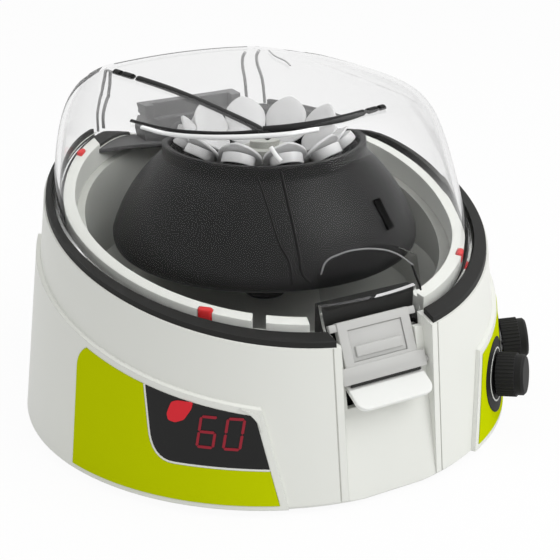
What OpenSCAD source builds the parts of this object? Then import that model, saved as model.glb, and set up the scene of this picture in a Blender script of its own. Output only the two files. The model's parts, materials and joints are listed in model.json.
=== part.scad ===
// Small bench centrifuge: sloping drum, clear hinged lid, cone rotor, display panel and two knobs.
// Sizes are millimetres. The pieces are set out from the drum's axis and the drum's bottom edge.

/* [Body] */
// Radius of the drum at its bottom edge
base_r = 111; // [108:0.5:115]
// Radius that the wall loses for each millimetre of height
wall_taper = 0.121; // [0.11:0.001:0.13]
// Height of the sloping rim on the drum's axis
rim_z = 92.4; // [90:0.2:95]
// Slope of the rim in degrees, high at the back
rim_tilt = 14.2; // [13:0.1:15]
// Distance from the axis to the flat back
back_y = 83; // [82:0.5:85]
// Thickness of the moulded walls
wall = 2.5; // [2:0.1:3]
// Chamfer round the bottom edge
edge_chamfer = 1.5; // [0.5:0.1:2]
// Height of the raised side pads over the wall
pad_step = 2; // [1.5:0.1:2.5]
// Drop from the rim to the top edge of the pads
pad_drop = 24.5; // [23:0.5:26]
// Width of the pads in front of the panels
pad_margin = 3; // [2:0.5:4]
// Azimuth of the pads' rear edge, counted from the latch
pad_rear = 118; // [112:1:124]

/* [Base] */
// Thickness of the bottom cover
base_t = 3; // [2:0.5:4]
// Height of the rubber feet below the drum
foot_h = 2; // [1.5:0.5:3]
// Radius of a rubber foot
foot_r = 8; // [6:0.5:10]
// Distance of the feet and the cover's screws from the axis
post_ring = 97; // [94:0.5:98]
// Radius of the posts that take the cover's screws
post_r = 5; // [4.5:0.1:6]
// Height of the posts that take the cover's screws
post_h = 22; // [18:1:26]
// Radius of a cover screw's shank
cover_screw_r = 1.6; // [1.2:0.1:2]

/* [Rim] */
// Width of white lip left round the black ring
lip_w = 0.8; // [0.5:0.1:1.2]
// Inner radius of the black ring
ring_in_r = 95.3; // [95.2:0.1:96]
// Height of the black ring over the rim
ring_h = 2.4; // [2:0.1:3]
// Depth of the ring's floor below the rim
ring_drop = 8; // [7:0.5:9]
// Thickness of the ring's floor and skirt
ring_t = 2; // [1.5:0.1:2.5]
// Outer radius of the white inner rim
inner_out_r = 90; // [89:0.1:90.5]
// Inner radius of the white inner rim
inner_in_r = 84.8; // [84.2:0.1:85.5]
// Height of the white inner rim over the body's rim
inner_h = 2; // [1:0.1:2.2]
// Half angle of the gap in the white rim behind the latch
gap_half = 18; // [16:0.5:20]
// Height of the black front platform over the rim
platform_h = 8.5; // [7:0.5:9]
// Azimuth of the slot beside the front platform
slot_az = 31; // [29:0.5:33]
// Width of that slot in degrees
slot_w = 3.6; // [2:0.2:5]
// Width of a red buffer
buffer_w = 6; // [4:0.5:8]
// Radius of the chamber at its top
bowl_r = 83; // [82.5:0.1:83.5]
// Radius of the chamber at its floor
bowl_floor_r = 70; // [66:1:74]
// Height of the chamber's floor
bowl_z = 50; // [49:0.5:54]
// Thickness of the chamber's wall
bowl_t = 1.5; // [1:0.1:2]

/* [Lid] */
// Radius of the lid at its lower edge
lid_r = 94.3; // [94:0.1:94.5]
// Radius of the lid's flat crown
crown_r = 58; // [55:0.5:61]
// Setback of the crown's centre behind the axis
crown_y = 5.3; // [3:0.1:8]
// Height of the crown's edge
crown_z = 143; // [142:0.5:146]
// Rise of the crown at its centre
crown_rise = 4; // [2:0.1:5]
// Thickness of the lid
lid_t = 2.4; // [2:0.1:3]
// Distance from the axis to the lid's flat back
lid_back = 82; // [81:0.5:82.5]
// Gap between the body's rim and the lid's lower edge
lid_gap = 0.4; // [0.3:0.1:0.8]
// Height of the arched catch's top over its foot
catch_h = 22; // [20:0.5:24]
// Half width of the arched catch
catch_half = 23; // [22.6:0.1:24]
// Thickness of the catch in the middle of the lid's front
catch_proud = 1.4; // [1.2:0.1:2]

/* [Hinge] */
// Distance from the axis to the hinge pin
hinge_y = 88; // [87.6:0.1:90]
// Height of the hinge pin
hinge_z = 111; // [109:0.5:112]
// Radius of the hinge pin
hinge_pin_r = 1.5; // [1.2:0.1:2]
// Radius of the hinge barrels
barrel_r = 3.6; // [3.2:0.1:4]
// Half width of the middle barrel
barrel_half = 8; // [7:0.5:9]
// Width of each lid arm
arm_w = 12; // [11:0.5:13]
// Half width of the cover over the hinge
cover_half = 26; // [25:0.5:28]
// Distance from the axis to that cover's front
cover_y = 70; // [69:0.5:71]
// Distance from the axis to the front of the shelf below that cover
shelf_y = 67; // [66:0.5:68]
// Height of that cover's top
cover_z = 124.5; // [123:0.5:126]

/* [Latch] */
// Width of the recess round the latch
recess_w = 44; // [43:0.5:45]
// Distance from the axis to the recess at the front of the rim
recess_top_y = 93; // [92:0.5:94]
// Distance from the axis to the recess at the bottom edge
recess_low_y = 108.5; // [107.5:0.1:109]
// Width of the latch lever's tongue and tab
lever_w = 35; // [33:0.5:37]
// Width of the lever across its ears
ear_span = 42; // [41:0.5:42.4]
// Distance from the axis to the lever's pin
pivot_y = 97.8; // [97:0.1:98.5]
// Height of the lever's pin
pivot_z = 51; // [50:0.5:52]
// Height of the lever's plate over its pin
plate_h = 23; // [21:0.5:23.5]
// Thickness of the lever's plate
plate_t = 3; // [2.6:0.1:3.2]
// Lean of the lever's plate in degrees
plate_lean = 26; // [25:0.5:27]
// Length of the press tab from the pin
tab_len = 15; // [14:0.5:16]
// Fall of the press tab in degrees
tab_fall = 26; // [24:0.5:28]
// Thickness of the press tab
tab_t = 2; // [1.8:0.1:2.2]
// Radius of the lever's pin
latch_pin_r = 1.5; // [1.2:0.1:1.8]

/* [Panels] */
// Drop from the rim to the panels' top edge
panel_drop = 27.2; // [26.6:0.2:29]
// Height of the panels' lower edge
panel_low = 3.5; // [3:0.5:5]
// Azimuth of the panels' rear edge
panel_rear = 76.5; // [75:0.5:80]
// Azimuth of the panels' slanting front edge at the middle of its height
panel_front = 28.8; // [28:0.2:29.4]
// Height of that middle
panel_mid = 21; // [20:0.5:22]
// Thickness of a panel
panel_t = 1.2; // [1:0.1:1.5]
// Radius of a panel's rear top corner
panel_corner = 11; // [8:0.5:12]
// Azimuth of the display window's middle
window_az = 42.2; // [41.6:0.2:43]
// Height of the display window's middle
window_z = 33; // [32:0.5:34]
// Width of the display window
window_w = 52.4; // [50:0.2:54]
// Height of the display window
window_h = 27; // [25:0.5:28]
// Width of the white line round the window
bezel_w = 0.9; // [0.6:0.1:1.2]
// Height of a display digit
digit_h = 13; // [11:0.5:14]
// Width of a display digit
digit_w = 6.6; // [5.6:0.2:7.4]
// Width of a segment of a digit
segment_w = 1.1; // [0.8:0.1:1.6]

/* [Knobs] */
// Azimuth of the speed knob
speed_az = 41; // [40.5:0.5:42]
// Azimuth of the time knob
time_az = 60; // [59.5:0.5:62]
// Height of the knobs on the wall
knob_z = 24.5; // [23:0.5:26]
// Radius of a knob's knurled part
knob_r = 10; // [8.5:0.1:10.5]
// Length of a knob's knurled part
knob_len = 8.2; // [7.5:0.1:9]
// Length of a knob's smooth nose
nose_len = 4; // [3:0.5:5]
// Number of ridges round a knob
knob_ridges = 36; // [24:1:44]
// Radius of the black disc behind a knob
disc_r = 17; // [15:0.5:18]
// Radius of the white ring on that disc
dial_ring_r = 12.3; // [11.8:0.1:13.5]
// Radius of an encoder's shaft
encoder_r = 3; // [2.5:0.1:3.2]

/* [Rotor] */
// Radius of the rotor at its shoulder
rotor_r = 69; // [68:0.5:71]
// Radius of the rotor's top collar
rotor_top_r = 45.6; // [45.4:0.1:47]
// Height of the rotor's lower edge
rotor_z = 77.5; // [77:0.5:79]
// Height of the rotor
rotor_h = 47.5; // [47:0.5:48.5]
// Number of sample tubes
tube_count = 10; // [8:1:10]
// Turn of the rotor as it stands, in degrees
rotor_turn = -13; // [-18:1:18]
// Radius of a sample tube
tube_r = 5.3; // [5:0.1:5.5]
// Lean of the tubes in degrees
tube_lean = 33; // [32:0.5:34]
// Distance of a tube's axis inside the rotor's top edge
tube_inset = 11.2; // [11:0.1:11.8]
// Length of tube from its collar to its tip
tube_len = 39; // [34:0.5:40]
// Height of the tube collars over the rotor's top edge, along the tube
tube_rise = 6.1; // [5.6:0.1:7]
// Width of a tube's leaf-shaped cap
cap_w = 18; // [15:0.2:18.4]
// Length of a tube's cap
cap_len = 19.6; // [18:0.2:21]
// Radius of the drive shaft
shaft_r = 4; // [3:0.5:5]
// Radius of the rotor's hand nut
nut_r = 11; // [9:0.5:12]

/* [Drive] */
// Radius of the motor
motor_r = 26; // [22:0.5:28]
// Height of the motor
motor_h = 34; // [30:0.5:35]
// Thickness of the motor's bracket
bracket_t = 3; // [2:0.5:3.5]
// Distance of the bracket's posts from the axis
damper_ring = 38; // [36:0.5:42]
// Height of a rubber damper
damper_h = 5; // [4:0.5:6]
// Radius of a rubber damper
damper_r = 6.5; // [6:0.1:7]

/* [Power] */
// Distance of the inlet and the switch from the middle of the back
inlet_x = 24; // [20:0.5:28]
// Height of the inlet and the switch
inlet_z = 34; // [30:0.5:40]
// Width of the inlet's flange
inlet_w = 30; // [29:0.5:33]
// Height of the inlet's flange
inlet_h = 23; // [22:0.5:26]
// Width of the switch's frame
switch_w = 15; // [14:0.5:17]
// Height of the switch's frame
switch_h = 22; // [21:0.5:25]
// Tilt of the rocker at rest
rocker_tilt = 9; // [6:0.5:10]

/* [Clearances] */
// Gap between fixed pieces that sit in one another
seat_gap = 0.1; // [0.05:0.01:0.15]
// Radial gap of a turning fit
run_gap = 0.06; // [0.03:0.01:0.09]
// Gap between pieces that move past each other
move_gap = 0.5; // [0.4:0.05:0.8]

/* [Hidden] */
$fn = 64;

function wall_r(z) = base_r - wall_taper * z;
function rim_at(y) = rim_z + y * tan(rim_tilt);
function around(az) = [sin(az), -cos(az)];

span = 3 * base_r;
wall_slope = atan(wall_taper);
drum_top = rim_at(base_r);
hinge_out = hinge_y + barrel_r;
tab_top = -1.5;
tab_tip = pivot_y + tab_len * cos(tab_fall) + (tab_top - tab_t / 2) * sin(tab_fall);
axis_y = (tab_tip - hinge_out) / 2;
front_rim_z = rim_at(-recess_top_y);
recess_lean = atan((recess_low_y - recess_top_y) / front_rim_z);
slot_half = ear_span / 2 + move_gap;
post_turns = [20, 140, 220, 340];
foot_turns = [62, 118, 242, 298];

// Row frame: the middle of the footprint on the table
module placed() {
    translate([0, axis_y, foot_h])
        children();
}

// Solid cone of the drum, grown outward and started at a given height
module cone(grow, low) {
    rotate_extrude($fn = 120)
        polygon([[0, low], [wall_r(low) + grow, low], [wall_r(drum_top) + grow, drum_top], [0, drum_top]]);
}

// Everything below the sloping rim raised by a given height
module under_rim(rise) {
    translate([0, 0, rim_z + rise])
        rotate([rim_tilt, 0, 0])
            translate([-span, -span, -2 * span])
                cube(2 * span);
}

// Sloping layer between two heights over the rim
module rim_layer(low, high) {
    difference() {
        under_rim(high);
        under_rim(low);
    }
}

// Everything in front of a plane across the back
module before(y) {
    translate([-span, y - 2 * span, -span])
        cube(2 * span);
}

// Wedge between two azimuths counted from the latch, towards the right
module sector(from, to) {
    mid = (from + to) / 2;
    linear_extrude(2 * span, center = true)
        polygon([[0, 0], span * around(from), 2 * span * around(mid), span * around(to)]);
}

// Upright ring between two radii
module tube(outer, inner) {
    difference() {
        cylinder(h = span, r = outer, center = true, $fn = 120);
        cylinder(h = 2 * span, r = inner, center = true, $fn = 120);
    }
}

// Frame on the drum's wall: X to the right, Y up the wall, Z outward
module on_wall(az, z, out) {
    rotate([0, 0, az])
        translate([0, -wall_r(z), z])
            rotate([90 - wall_slope, 0, 0])
                translate([0, 0, out])
                    children();
}

// Layer of the side pads between two heights over the pads' face
module pad_layer(low, high) {
    difference() {
        cone(pad_step + high, -span / 4);
        cone(pad_step + low, -span / 3);
    }
}

// Recess round the latch, grown on its sides and its back
module latch_recess(grow) {
    translate([0, -recess_top_y, front_rim_z])
        rotate([-recess_lean, 0, 0])
            translate([-recess_w / 2 - grow, grow - span, -span])
                cube([recess_w + 2 * grow, span, 2 * span]);
}

// Inside of the drum, drawn in from its outer faces
module hollow(inset) {
    difference() {
        intersection() {
            cone(-inset, -1);
            before(back_y - inset);
        }
        latch_recess(inset);
    }
}

// Everything behind the slanting front edge of the right-hand panel, moved back by a margin
module behind_front(margin) {
    on_wall(panel_front, panel_mid, 0)
        rotate([0, 0, -rim_tilt])
            translate([margin, -span, -span])
                cube(2 * span);
}

// Outline of a panel on the right-hand pad, drawn in by a margin
module panel_shape(margin) {
    difference() {
        intersection() {
            under_rim(-panel_drop - margin);
            behind_front(margin);
            sector(0, panel_rear - edge_angle(margin));
            translate([-span, -span, panel_low + margin])
                cube(2 * span);
        }
        panel_rear_corner(margin);
    }
}

// Waste outside the rounded rear top corner of a panel
module panel_rear_corner(margin) {
    corner_z = rim_at(-base_r * cos(panel_rear)) - panel_drop - margin;
    on_wall(panel_rear - edge_angle(margin), corner_z, 0)
        linear_extrude(4 * panel_corner, center = true)
            difference() {
                translate([-panel_corner, -panel_corner])
                    square(3 * panel_corner);
                translate([-panel_corner, -panel_corner])
                    circle(panel_corner);
                translate([-3 * panel_corner, -3 * panel_corner])
                    square([2 * panel_corner, 5 * panel_corner]);
            }
}

// White drum with its pads, latch recess and flat back
module body_shell() {
    color("whitesmoke")
        difference() {
            union() {
                difference() {
                    union() {
                        drum_body();
                        for (side = [0, 1])
                            mirror([side, 0, 0])
                                side_pad();
                    }
                    hollow(wall);
                    latch_recess(0);
                }
                intersection() {
                    screw_posts();
                    hollow(wall / 2);
                }
            }
            for (side = [0, 1])
                mirror([side, 0, 0])
                    intersection() {
                        pad_layer(-panel_t, 2 * pad_step);
                        panel_shape(0);
                    }
            lever_slot();
            for (side = [-1, 1])
                intersection() {
                    pad_layer(-pad_step - seam_d, pad_step);
                    translate([side * (recess_w / 2 + seam_in) - seam_w / 2, -span, -span])
                        cube([seam_w, span, 2 * span]);
                }
            latch_axle(latch_pin_r + seat_gap / 5, recess_w / 2 + wall);
            for (az = [speed_az, time_az])
                on_wall(az, knob_z, 0)
                    cylinder(h = 4 * wall + 4 * pad_step, r = bush_r + seat_gap, center = true);
            back_cut(-inlet_x, inlet_body_w, inlet_body_h);
            back_cut(inlet_x, switch_body_w, switch_body_h);
            for (turn = post_turns)
                rotate([0, 0, turn])
                    translate([0, -post_ring, 0])
                        cylinder(h = base_t + post_h - wall, r = cover_screw_r);
        }
}

module drum_body() {
    intersection() {
        rotate_extrude($fn = 120)
            polygon([[0, 0], [wall_r(0) - edge_chamfer, 0], [wall_r(edge_chamfer), edge_chamfer],
                [wall_r(drum_top), drum_top], [0, drum_top]]);
        under_rim(0);
        before(back_y);
    }
}

module side_pad() {
    intersection() {
        cone(pad_step, edge_chamfer);
        under_rim(-pad_drop);
        behind_front(-pad_margin);
        sector(0, pad_rear);
        before(back_y);
    }
}

// Posts that stand on the bottom cover and take its screws
module screw_posts() {
    for (turn = post_turns)
        rotate([0, 0, turn])
            translate([-post_r, -base_r, base_t + seat_gap])
                cube([2 * post_r, base_r - post_ring + post_r, post_h]);
}

// Opening for the lever in the back of the recess
module lever_slot() {
    tongue_half = lever_w / 2 + move_gap;
    translate([-tongue_half, -base_r, pivot_z - slot_below])
        cube([2 * tongue_half, base_r - platform_y + wall, drum_top]);
    translate([-slot_half, -base_r, pivot_z + (plate_h - ear_h) * cos(plate_lean) - ear_room])
        cube([2 * slot_half, base_r - platform_y + wall, drum_top]);
}

slot_below = 12.5;
ear_room = 4;
seam_in = 3.4;
seam_w = 0.5;
seam_d = 0.5;

// Cylinder along the lever's pin
module latch_axle(radius, half) {
    translate([0, -pivot_y, pivot_z])
        rotate([0, 90, 0])
            cylinder(h = 2 * half, r = radius, center = true);
}

// Cut through the flat back
module back_cut(x, w, h) {
    translate([x - w / 2, back_y - 2 * wall, inlet_z - h / 2])
        cube([w, 4 * wall, h]);
}

bracket_clear = 1;
motor_top = bowl_z - bowl_t - bracket_t - bracket_clear;
bracket_z = motor_top;
motor_post_h = bracket_z - damper_h - base_t;
motor_turns = [90, 210, 330];
screw_head_r = 3;
damper_bore = 1.6;

// Bottom cover with the motor's posts and the boards' spacers
module base_plate() {
    color("dimgray")
        difference() {
            union() {
                intersection() {
                    hollow(wall + seat_gap);
                    translate([-span, -span, 0])
                        cube([2 * span, 2 * span, base_t]);
                }
                for (turn = motor_turns)
                    rotate([0, 0, turn])
                        translate([0, -damper_ring, 0])
                            cylinder(h = base_t + motor_post_h, r = damper_r);
                for (x = [-1, 1], y = [-1, 1])
                    for (place = [main_board_at, supply_at])
                        translate([place[0] + x * board_hole_x, place[1] + y * board_hole_y, 0])
                            cylinder(h = board_z, r = spacer_r);
            }
            for (turn = post_turns)
                rotate([0, 0, turn])
                    translate([0, -post_ring, -1])
                        cylinder(h = base_t + 2, r = cover_screw_r + seat_gap);
            for (turn = motor_turns)
                rotate([0, 0, turn])
                    translate([0, -damper_ring, base_t])
                        cylinder(h = motor_post_h + 1, r = damper_bore);
        }
}

module rubber_feet() {
    color("black")
        for (turn = foot_turns)
            rotate([0, 0, turn])
                translate([0, -post_ring + foot_r, -foot_h])
                    cylinder(h = foot_h, r = foot_r);
}

module base_screws() {
    color("silver")
        for (turn = post_turns)
            rotate([0, 0, turn])
                translate([0, -post_ring, 0])
                    union() {
                        translate([0, 0, -foot_h / 2])
                            cylinder(h = foot_h / 2, r = screw_head_r);
                        translate([0, 0, -foot_h / 4])
                            cylinder(h = base_t + post_h / 2, r = cover_screw_r - seat_gap / 5);
                    }
}

// Black ring with its skirt, floor and front platform
module rim_ring() {
    color("#202020")
        difference() {
            union() {
                intersection() {
                    cone(-lip_w, 0);
                    tube(2 * base_r, ring_in_r);
                    rim_layer(0, ring_h);
                    before(back_y - lip_w);
                }
                intersection() {
                    hollow(wall + seat_gap);
                    union() {
                        intersection() {
                            tube(2 * base_r, ring_in_r);
                            rim_layer(-ring_drop, ring_h / 2);
                        }
                        intersection() {
                            tube(2 * base_r, ring_in_r - ring_t);
                            rim_layer(-ring_drop, lid_gap - 3 * move_gap);
                        }
                    }
                }
                intersection() {
                    hollow(wall + seat_gap);
                    tube(2 * base_r, inner_in_r + skirt_t);
                    rim_layer(-ring_drop, -ring_drop + ring_t);
                }
                intersection() {
                    translate([-catch_half + move_gap, -platform_y, 0])
                        cube([2 * catch_half - 2 * move_gap, platform_d, platform_z]);
                    rim_layer(-ring_drop, 2 * platform_h);
                }
            }
            ring_latch_cut();
        }
}

skirt_t = 1.8;
platform_reach = 4;
platform_y = pivot_y - plate_h * sin(plate_lean) - plate_t / 2 - move_gap;
platform_z = rim_at(-platform_y) + platform_h;
platform_d = platform_y - inner_in_r + platform_reach;

// Room for the lever through the front of the ring
module ring_latch_cut() {
    translate([-catch_half - move_gap, -2 * base_r, 0])
        cube([2 * catch_half + 2 * move_gap, 2 * base_r - platform_y, drum_top]);
}

// White ring on the black ring's floor
module inner_rim() {
    color("whitesmoke")
        difference() {
            intersection() {
                union() {
                    intersection() {
                        tube(inner_out_r, inner_in_r);
                        rim_layer(-ring_drop + ring_t, inner_h);
                    }
                    intersection() {
                        tube(inner_in_r + skirt_t - seat_gap, inner_in_r);
                        rim_layer(-ring_drop, 0);
                    }
                }
                before(shelf_end);
            }
            translate([-cover_half - seat_gap, cover_y - seat_gap, 0])
                cube([2 * cover_half + 2 * seat_gap, base_r, 2 * drum_top]);
            sector(-gap_half, gap_half);
            sector(-slot_az - slot_w / 2, -slot_az + slot_w / 2);
            for (az = buffer_turns)
                buffer_block(az, seat_gap);
        }
}

buffer_turns = [45, 135, 225, 315];
buffer_t = 2.5;
buffer_h = 5;
buffer_proud = 1;

// Block for one buffer, let into the outer edge of the white ring
module buffer_block(az, grow) {
    edge = inner_out_r;
    low = rim_at(-edge * cos(az)) + inner_h - buffer_h;
    rotate([0, 0, az])
        translate([-buffer_w / 2 - grow, -edge - grow / 4, low - grow])
            cube([buffer_w + 2 * grow, buffer_t + 1.25 * grow, buffer_h + buffer_proud + 2 * grow]);
}

module lid_buffers() {
    color("red")
        for (az = buffer_turns)
            buffer_block(az, 0);
}

// Grey chamber under the white ring, flat at the back
module rotor_bowl() {
    color("darkgray")
        difference() {
            union() {
                intersection() {
                    bowl_solid(0);
                    under_rim(-ring_drop - seat_gap);
                    before(back_y - wall - seat_gap);
                }
                intersection() {
                    cylinder(h = drum_top, r = inner_out_r, $fn = 120);
                    rim_layer(-ring_drop - ring_t, -ring_drop - seat_gap);
                    before(back_y - wall - seat_gap);
                }
            }
            intersection() {
                bowl_solid(bowl_t);
                before(back_y - wall - seat_gap - bowl_t);
            }
            cylinder(h = drum_top, r = seal_r + seat_gap);
        }
}

bowl_corner = 12;
seal_r = 9;

// Solid of the chamber, drawn in by a wall
module bowl_solid(inset) {
    rotate_extrude($fn = 120)
        polygon([[0, bowl_z - bowl_t + inset], [bowl_floor_r - inset / 2, bowl_z - bowl_t + inset],
            [bowl_r - wall - inset, bowl_z + bowl_corner],
            [bowl_r + bowl_t - inset, drum_top], [0, drum_top]]);
}

// Raised cover in front of the hinge, on a shelf across the back of the chamber
module hinge_cover() {
    color("#303030")
        union() {
            difference() {
                translate([-cover_half, cover_y, rim_at(cover_y) - ring_drop])
                    cube([2 * cover_half, shelf_end - cover_y, cover_z - rim_at(cover_y) + ring_drop]);
                under_rim(-shelf_t);
                translate([-cover_half + 2 * wall, cover_y - 1, cover_z - pocket_h])
                    cube([2 * cover_half - 4 * wall, pocket_d + 1, pocket_h + 1]);
            }
            intersection() {
                cylinder(h = 2 * drum_top, r = inner_in_r - seat_gap, $fn = 120);
                rim_layer(-shelf_t, 0);
                translate([-span, shelf_y, 0])
                    cube([2 * span, shelf_end - shelf_y, 2 * drum_top]);
            }
            intersection() {
                cylinder(h = 2 * drum_top, r = inner_in_r - seat_gap, $fn = 120);
                rim_layer(-ring_drop, -shelf_t / 2);
                translate([-cover_half, shelf_foot_y, 0])
                    cube([2 * cover_half, back_y - wall - 2 * seat_gap - shelf_foot_y, 2 * drum_top]);
            }
        }
}

shelf_t = 2;
shelf_end = lid_back - lid_t - move_gap;
shelf_foot_y = 76;
pocket_h = 7;
pocket_d = 4;

// Middle barrel of the hinge and its plate on the flat back
module hinge_block() {
    color("#202020")
        difference() {
            union() {
                hinge_axle(barrel_r, barrel_half);
                translate([-barrel_half, back_y, hinge_z - hinge_plate_h])
                    cube([2 * barrel_half, hinge_y - back_y, hinge_plate_h]);
            }
            hinge_axle(hinge_pin_r + seat_gap / 5, 2 * barrel_half);
        }
}

hinge_plate_h = 16;

// Cylinder along the hinge pin
module hinge_axle(radius, half) {
    translate([0, hinge_y, hinge_z])
        rotate([0, 90, 0])
            cylinder(h = 2 * half, r = radius, center = true);
}

module hinge_pin() {
    color("silver")
        hinge_axle(hinge_pin_r, barrel_half + move_gap + arm_w);
}

arm_h = 7;

// Two arms that carry the lid on the pin
module lid_arms() {
    color("#202020")
        for (side = [0, 1])
            mirror([side, 0, 0])
                difference() {
                    union() {
                        translate([barrel_half + move_gap + arm_w / 2, 0, 0])
                            hinge_axle(barrel_r, arm_w / 2);
                        translate([barrel_half + move_gap, lid_back + seat_gap, rim_at(back_y) + move_gap])
                            cube([arm_w, hinge_y - lid_back - seat_gap, arm_h]);
                        translate([barrel_half + move_gap, back_y + move_gap, hinge_z])
                            cube([arm_w, hinge_y - back_y - move_gap, arm_h]);
                    }
                    hinge_axle(hinge_pin_r + run_gap, 2 * barrel_half + 2 * arm_w);
                    arm_screw(arm_screw_r + seat_gap / 5, 2 * arm_h);
                }
}

arm_screw_r = 1.5;
arm_screw_up = 3.9;
arm_screw_z = rim_at(back_y) + move_gap + arm_screw_up;
arm_head_h = 1.5;

// Cylinder through an arm into the lid's back
module arm_screw(radius, length) {
    translate([barrel_half + move_gap + arm_w / 2, hinge_y, arm_screw_z])
        rotate([90, 0, 0])
            cylinder(h = length, r = radius, center = true);
}

module arm_screws() {
    color("silver")
        for (side = [0, 1])
            mirror([side, 0, 0])
                translate([barrel_half + move_gap + arm_w / 2, hinge_y + seat_gap / 5, arm_screw_z])
                    rotate([90, 0, 0])
                        union() {
                            cylinder(h = hinge_y - lid_back - seat_gap, r = arm_screw_r);
                            translate([0, 0, -arm_head_h])
                                cylinder(h = arm_head_h, r = screw_head_r);
                        }
}

lid_steps = 10;
lid_sides = 64;
lid_round = 0.52;
lid_reach = 1.8;
lid_shift = 5.3;
lid_swell = 0.8;

// One point of the lid's outer face, drawn in by a wall
function lid_point(step, side, inset) =
    let (a = 90 * step / lid_steps,
        c = pow(cos(a), lid_round),
        s = pow(sin(a), lid_reach),
        r = crown_r + (lid_r - crown_r) * c - inset,
        x = r * sin(360 * side / lid_sides),
        y = crown_y * (1 - pow(c, lid_shift)) - r * cos(360 * side / lid_sides),
        top = crown_at(x) - inset,
        z = (rim_at(y) + lid_gap) * (1 - s) + top * s + y * lid_swell * s * (1 - s))
    [x, y, min(z, top)];

// Height of the lid's arched crown at a distance from its middle
function crown_at(x) = crown_z + crown_rise * max(0, 1 - pow(x / crown_r, 2));

// Closed solid of the lid's outer face
module lid_solid(inset) {
    rings = [for (step = [0 : lid_steps], side = [0 : lid_sides - 1]) lid_point(step, side, inset)];
    top = len(rings);
    last = lid_steps * lid_sides;
    points = concat(rings, [[0, crown_y, crown_at(0) - inset], [0, 0, rim_z + lid_gap]]);
    walls = [for (step = [0 : lid_steps - 1], side = [0 : lid_sides - 1], half = [0, 1])
        let (next = (side + 1) % lid_sides, low = step * lid_sides, high = low + lid_sides)
        half == 0 ? [low + side, high + side, high + next] : [low + side, high + next, low + next]];
    crown = [for (side = [0 : lid_sides - 1]) [last + side, top, last + (side + 1) % lid_sides]];
    floor = [for (side = [0 : lid_sides - 1]) [(side + 1) % lid_sides, top + 1, side]];
    polyhedron(points, concat(walls, crown, floor));
}

// Clear lid, cut flat at the back and open over the lever
module lid_dome() {
    color([0.9, 0.95, 1, 0.35])
        difference() {
            intersection() {
                lid_solid(0);
                before(lid_back);
            }
            intersection() {
                translate([0, 0, -lid_gap / 10])
                    lid_solid(lid_t);
                before(lid_back - lid_t);
            }
            translate([-catch_half, -2 * base_r, 0])
                cube([2 * catch_half, 2 * base_r - crown_r, catch_low]);
        }
}

catch_low = platform_z + move_gap;
catch_arch = 8;
catch_back = 4.9;
catch_foot_y = lid_r - catch_back;
catch_lean = 17;

// Outline of the arched catch seen from the front
module catch_outline() {
    arch_r = (pow(catch_half, 2) + pow(catch_arch, 2)) / (2 * catch_arch);
    intersection() {
        translate([-catch_half, 0])
            square([2 * catch_half, catch_h]);
        translate([0, catch_h - arch_r])
            circle(arch_r, $fn = 120);
    }
}

// Clear flat-faced catch on the lid's curved front
module lid_catch() {
    color([0.9, 0.95, 1, 0.35])
        difference() {
            translate([0, -catch_foot_y - catch_proud, catch_low])
                rotate([90 - catch_lean, 0, 0])
                    translate([0, 0, -catch_depth])
                        linear_extrude(catch_depth)
                            catch_outline();
            lid_solid(-seat_gap);
            translate([-span, -span, catch_low - 2 * span])
                cube(2 * span);
        }
}

catch_depth = 12;

hub_r = 3.6;
inset_w = 26;
inset_h = 13;
inset_t = 0.8;
inset_up = 1;
ear_h = 3.5;
ear_t = 2;
nose_steps = 4;

// Frame of the lever's plate: X across, Y back, Z up the plate from the pin
module on_plate() {
    translate([0, -pivot_y, pivot_z])
        rotate([-plate_lean, 0, 0])
            children();
}

// Side view of the press tab, run out from the pin, with a rounded tip
function tab_outline() =
    let (low = tab_top - tab_t, mid = tab_top - tab_t / 2)
    concat([[0, low], [0, tab_top]],
        bend([-tab_len + tab_t, tab_top], [-tab_len, tab_top], [-tab_len, mid], nose_steps),
        bend([-tab_len, mid], [-tab_len, low], [-tab_len + tab_t, low], nose_steps));

// White lever: tongue, ears, hub and press tab
module latch_lever() {
    color("whitesmoke")
        difference() {
            union() {
                on_plate() {
                    translate([-lever_w / 2, -plate_t / 2, 0])
                        cube([lever_w, plate_t, plate_h]);
                    translate([-ear_span / 2, -ear_t / 2, plate_h - ear_h])
                        cube([ear_span, ear_t, ear_h - 2 * seat_gap]);
                }
                latch_axle(hub_r, lever_w / 2 - move_gap);
                translate([0, -pivot_y, pivot_z])
                    rotate([tab_fall, 0, 0])
                        rotate([90, 0, 90])
                            linear_extrude(lever_w, center = true)
                                polygon(tab_outline());
            }
            latch_axle(latch_pin_r + run_gap, lever_w);
            on_plate()
                translate([-inset_w / 2 - seat_gap, -plate_t, (plate_h - inset_h) / 2 - seat_gap + inset_up])
                    cube([inset_w + 2 * seat_gap, plate_t / 2 + inset_t + seat_gap, inset_h + 2 * seat_gap]);
        }
}

// White plate set in the lever
module latch_inset() {
    color("white")
        on_plate()
            translate([-inset_w / 2, -plate_t / 2 + seat_gap / 2, (plate_h - inset_h) / 2 + inset_up])
                cube([inset_w, inset_t, inset_h]);
}

module latch_pin() {
    color("silver")
        latch_axle(latch_pin_r, recess_w / 2 + wall);
}

baffle_low = 30;
baffle_high = 57;
baffle_y = 92.2;
baffle_t = 1.5;

// Black baffle that closes the slot behind the lever
module latch_baffle() {
    color("black")
        difference() {
            intersection() {
                hollow(wall + seat_gap);
                translate([-slot_half - baffle_t - move_gap, -base_r, baffle_low])
                    cube([2 * slot_half + 2 * baffle_t + 2 * move_gap, base_r - baffle_y + baffle_t,
                        baffle_high - baffle_low]);
            }
            translate([-slot_half - move_gap, -base_r, 0])
                cube([2 * slot_half + 2 * move_gap, base_r - baffle_y, drum_top]);
        }
}

spring_w = 10;
spring_t = 0.6;
spring_h = 14;
spring_rise = 4;
switch_size = [20, 7, 11];

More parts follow.
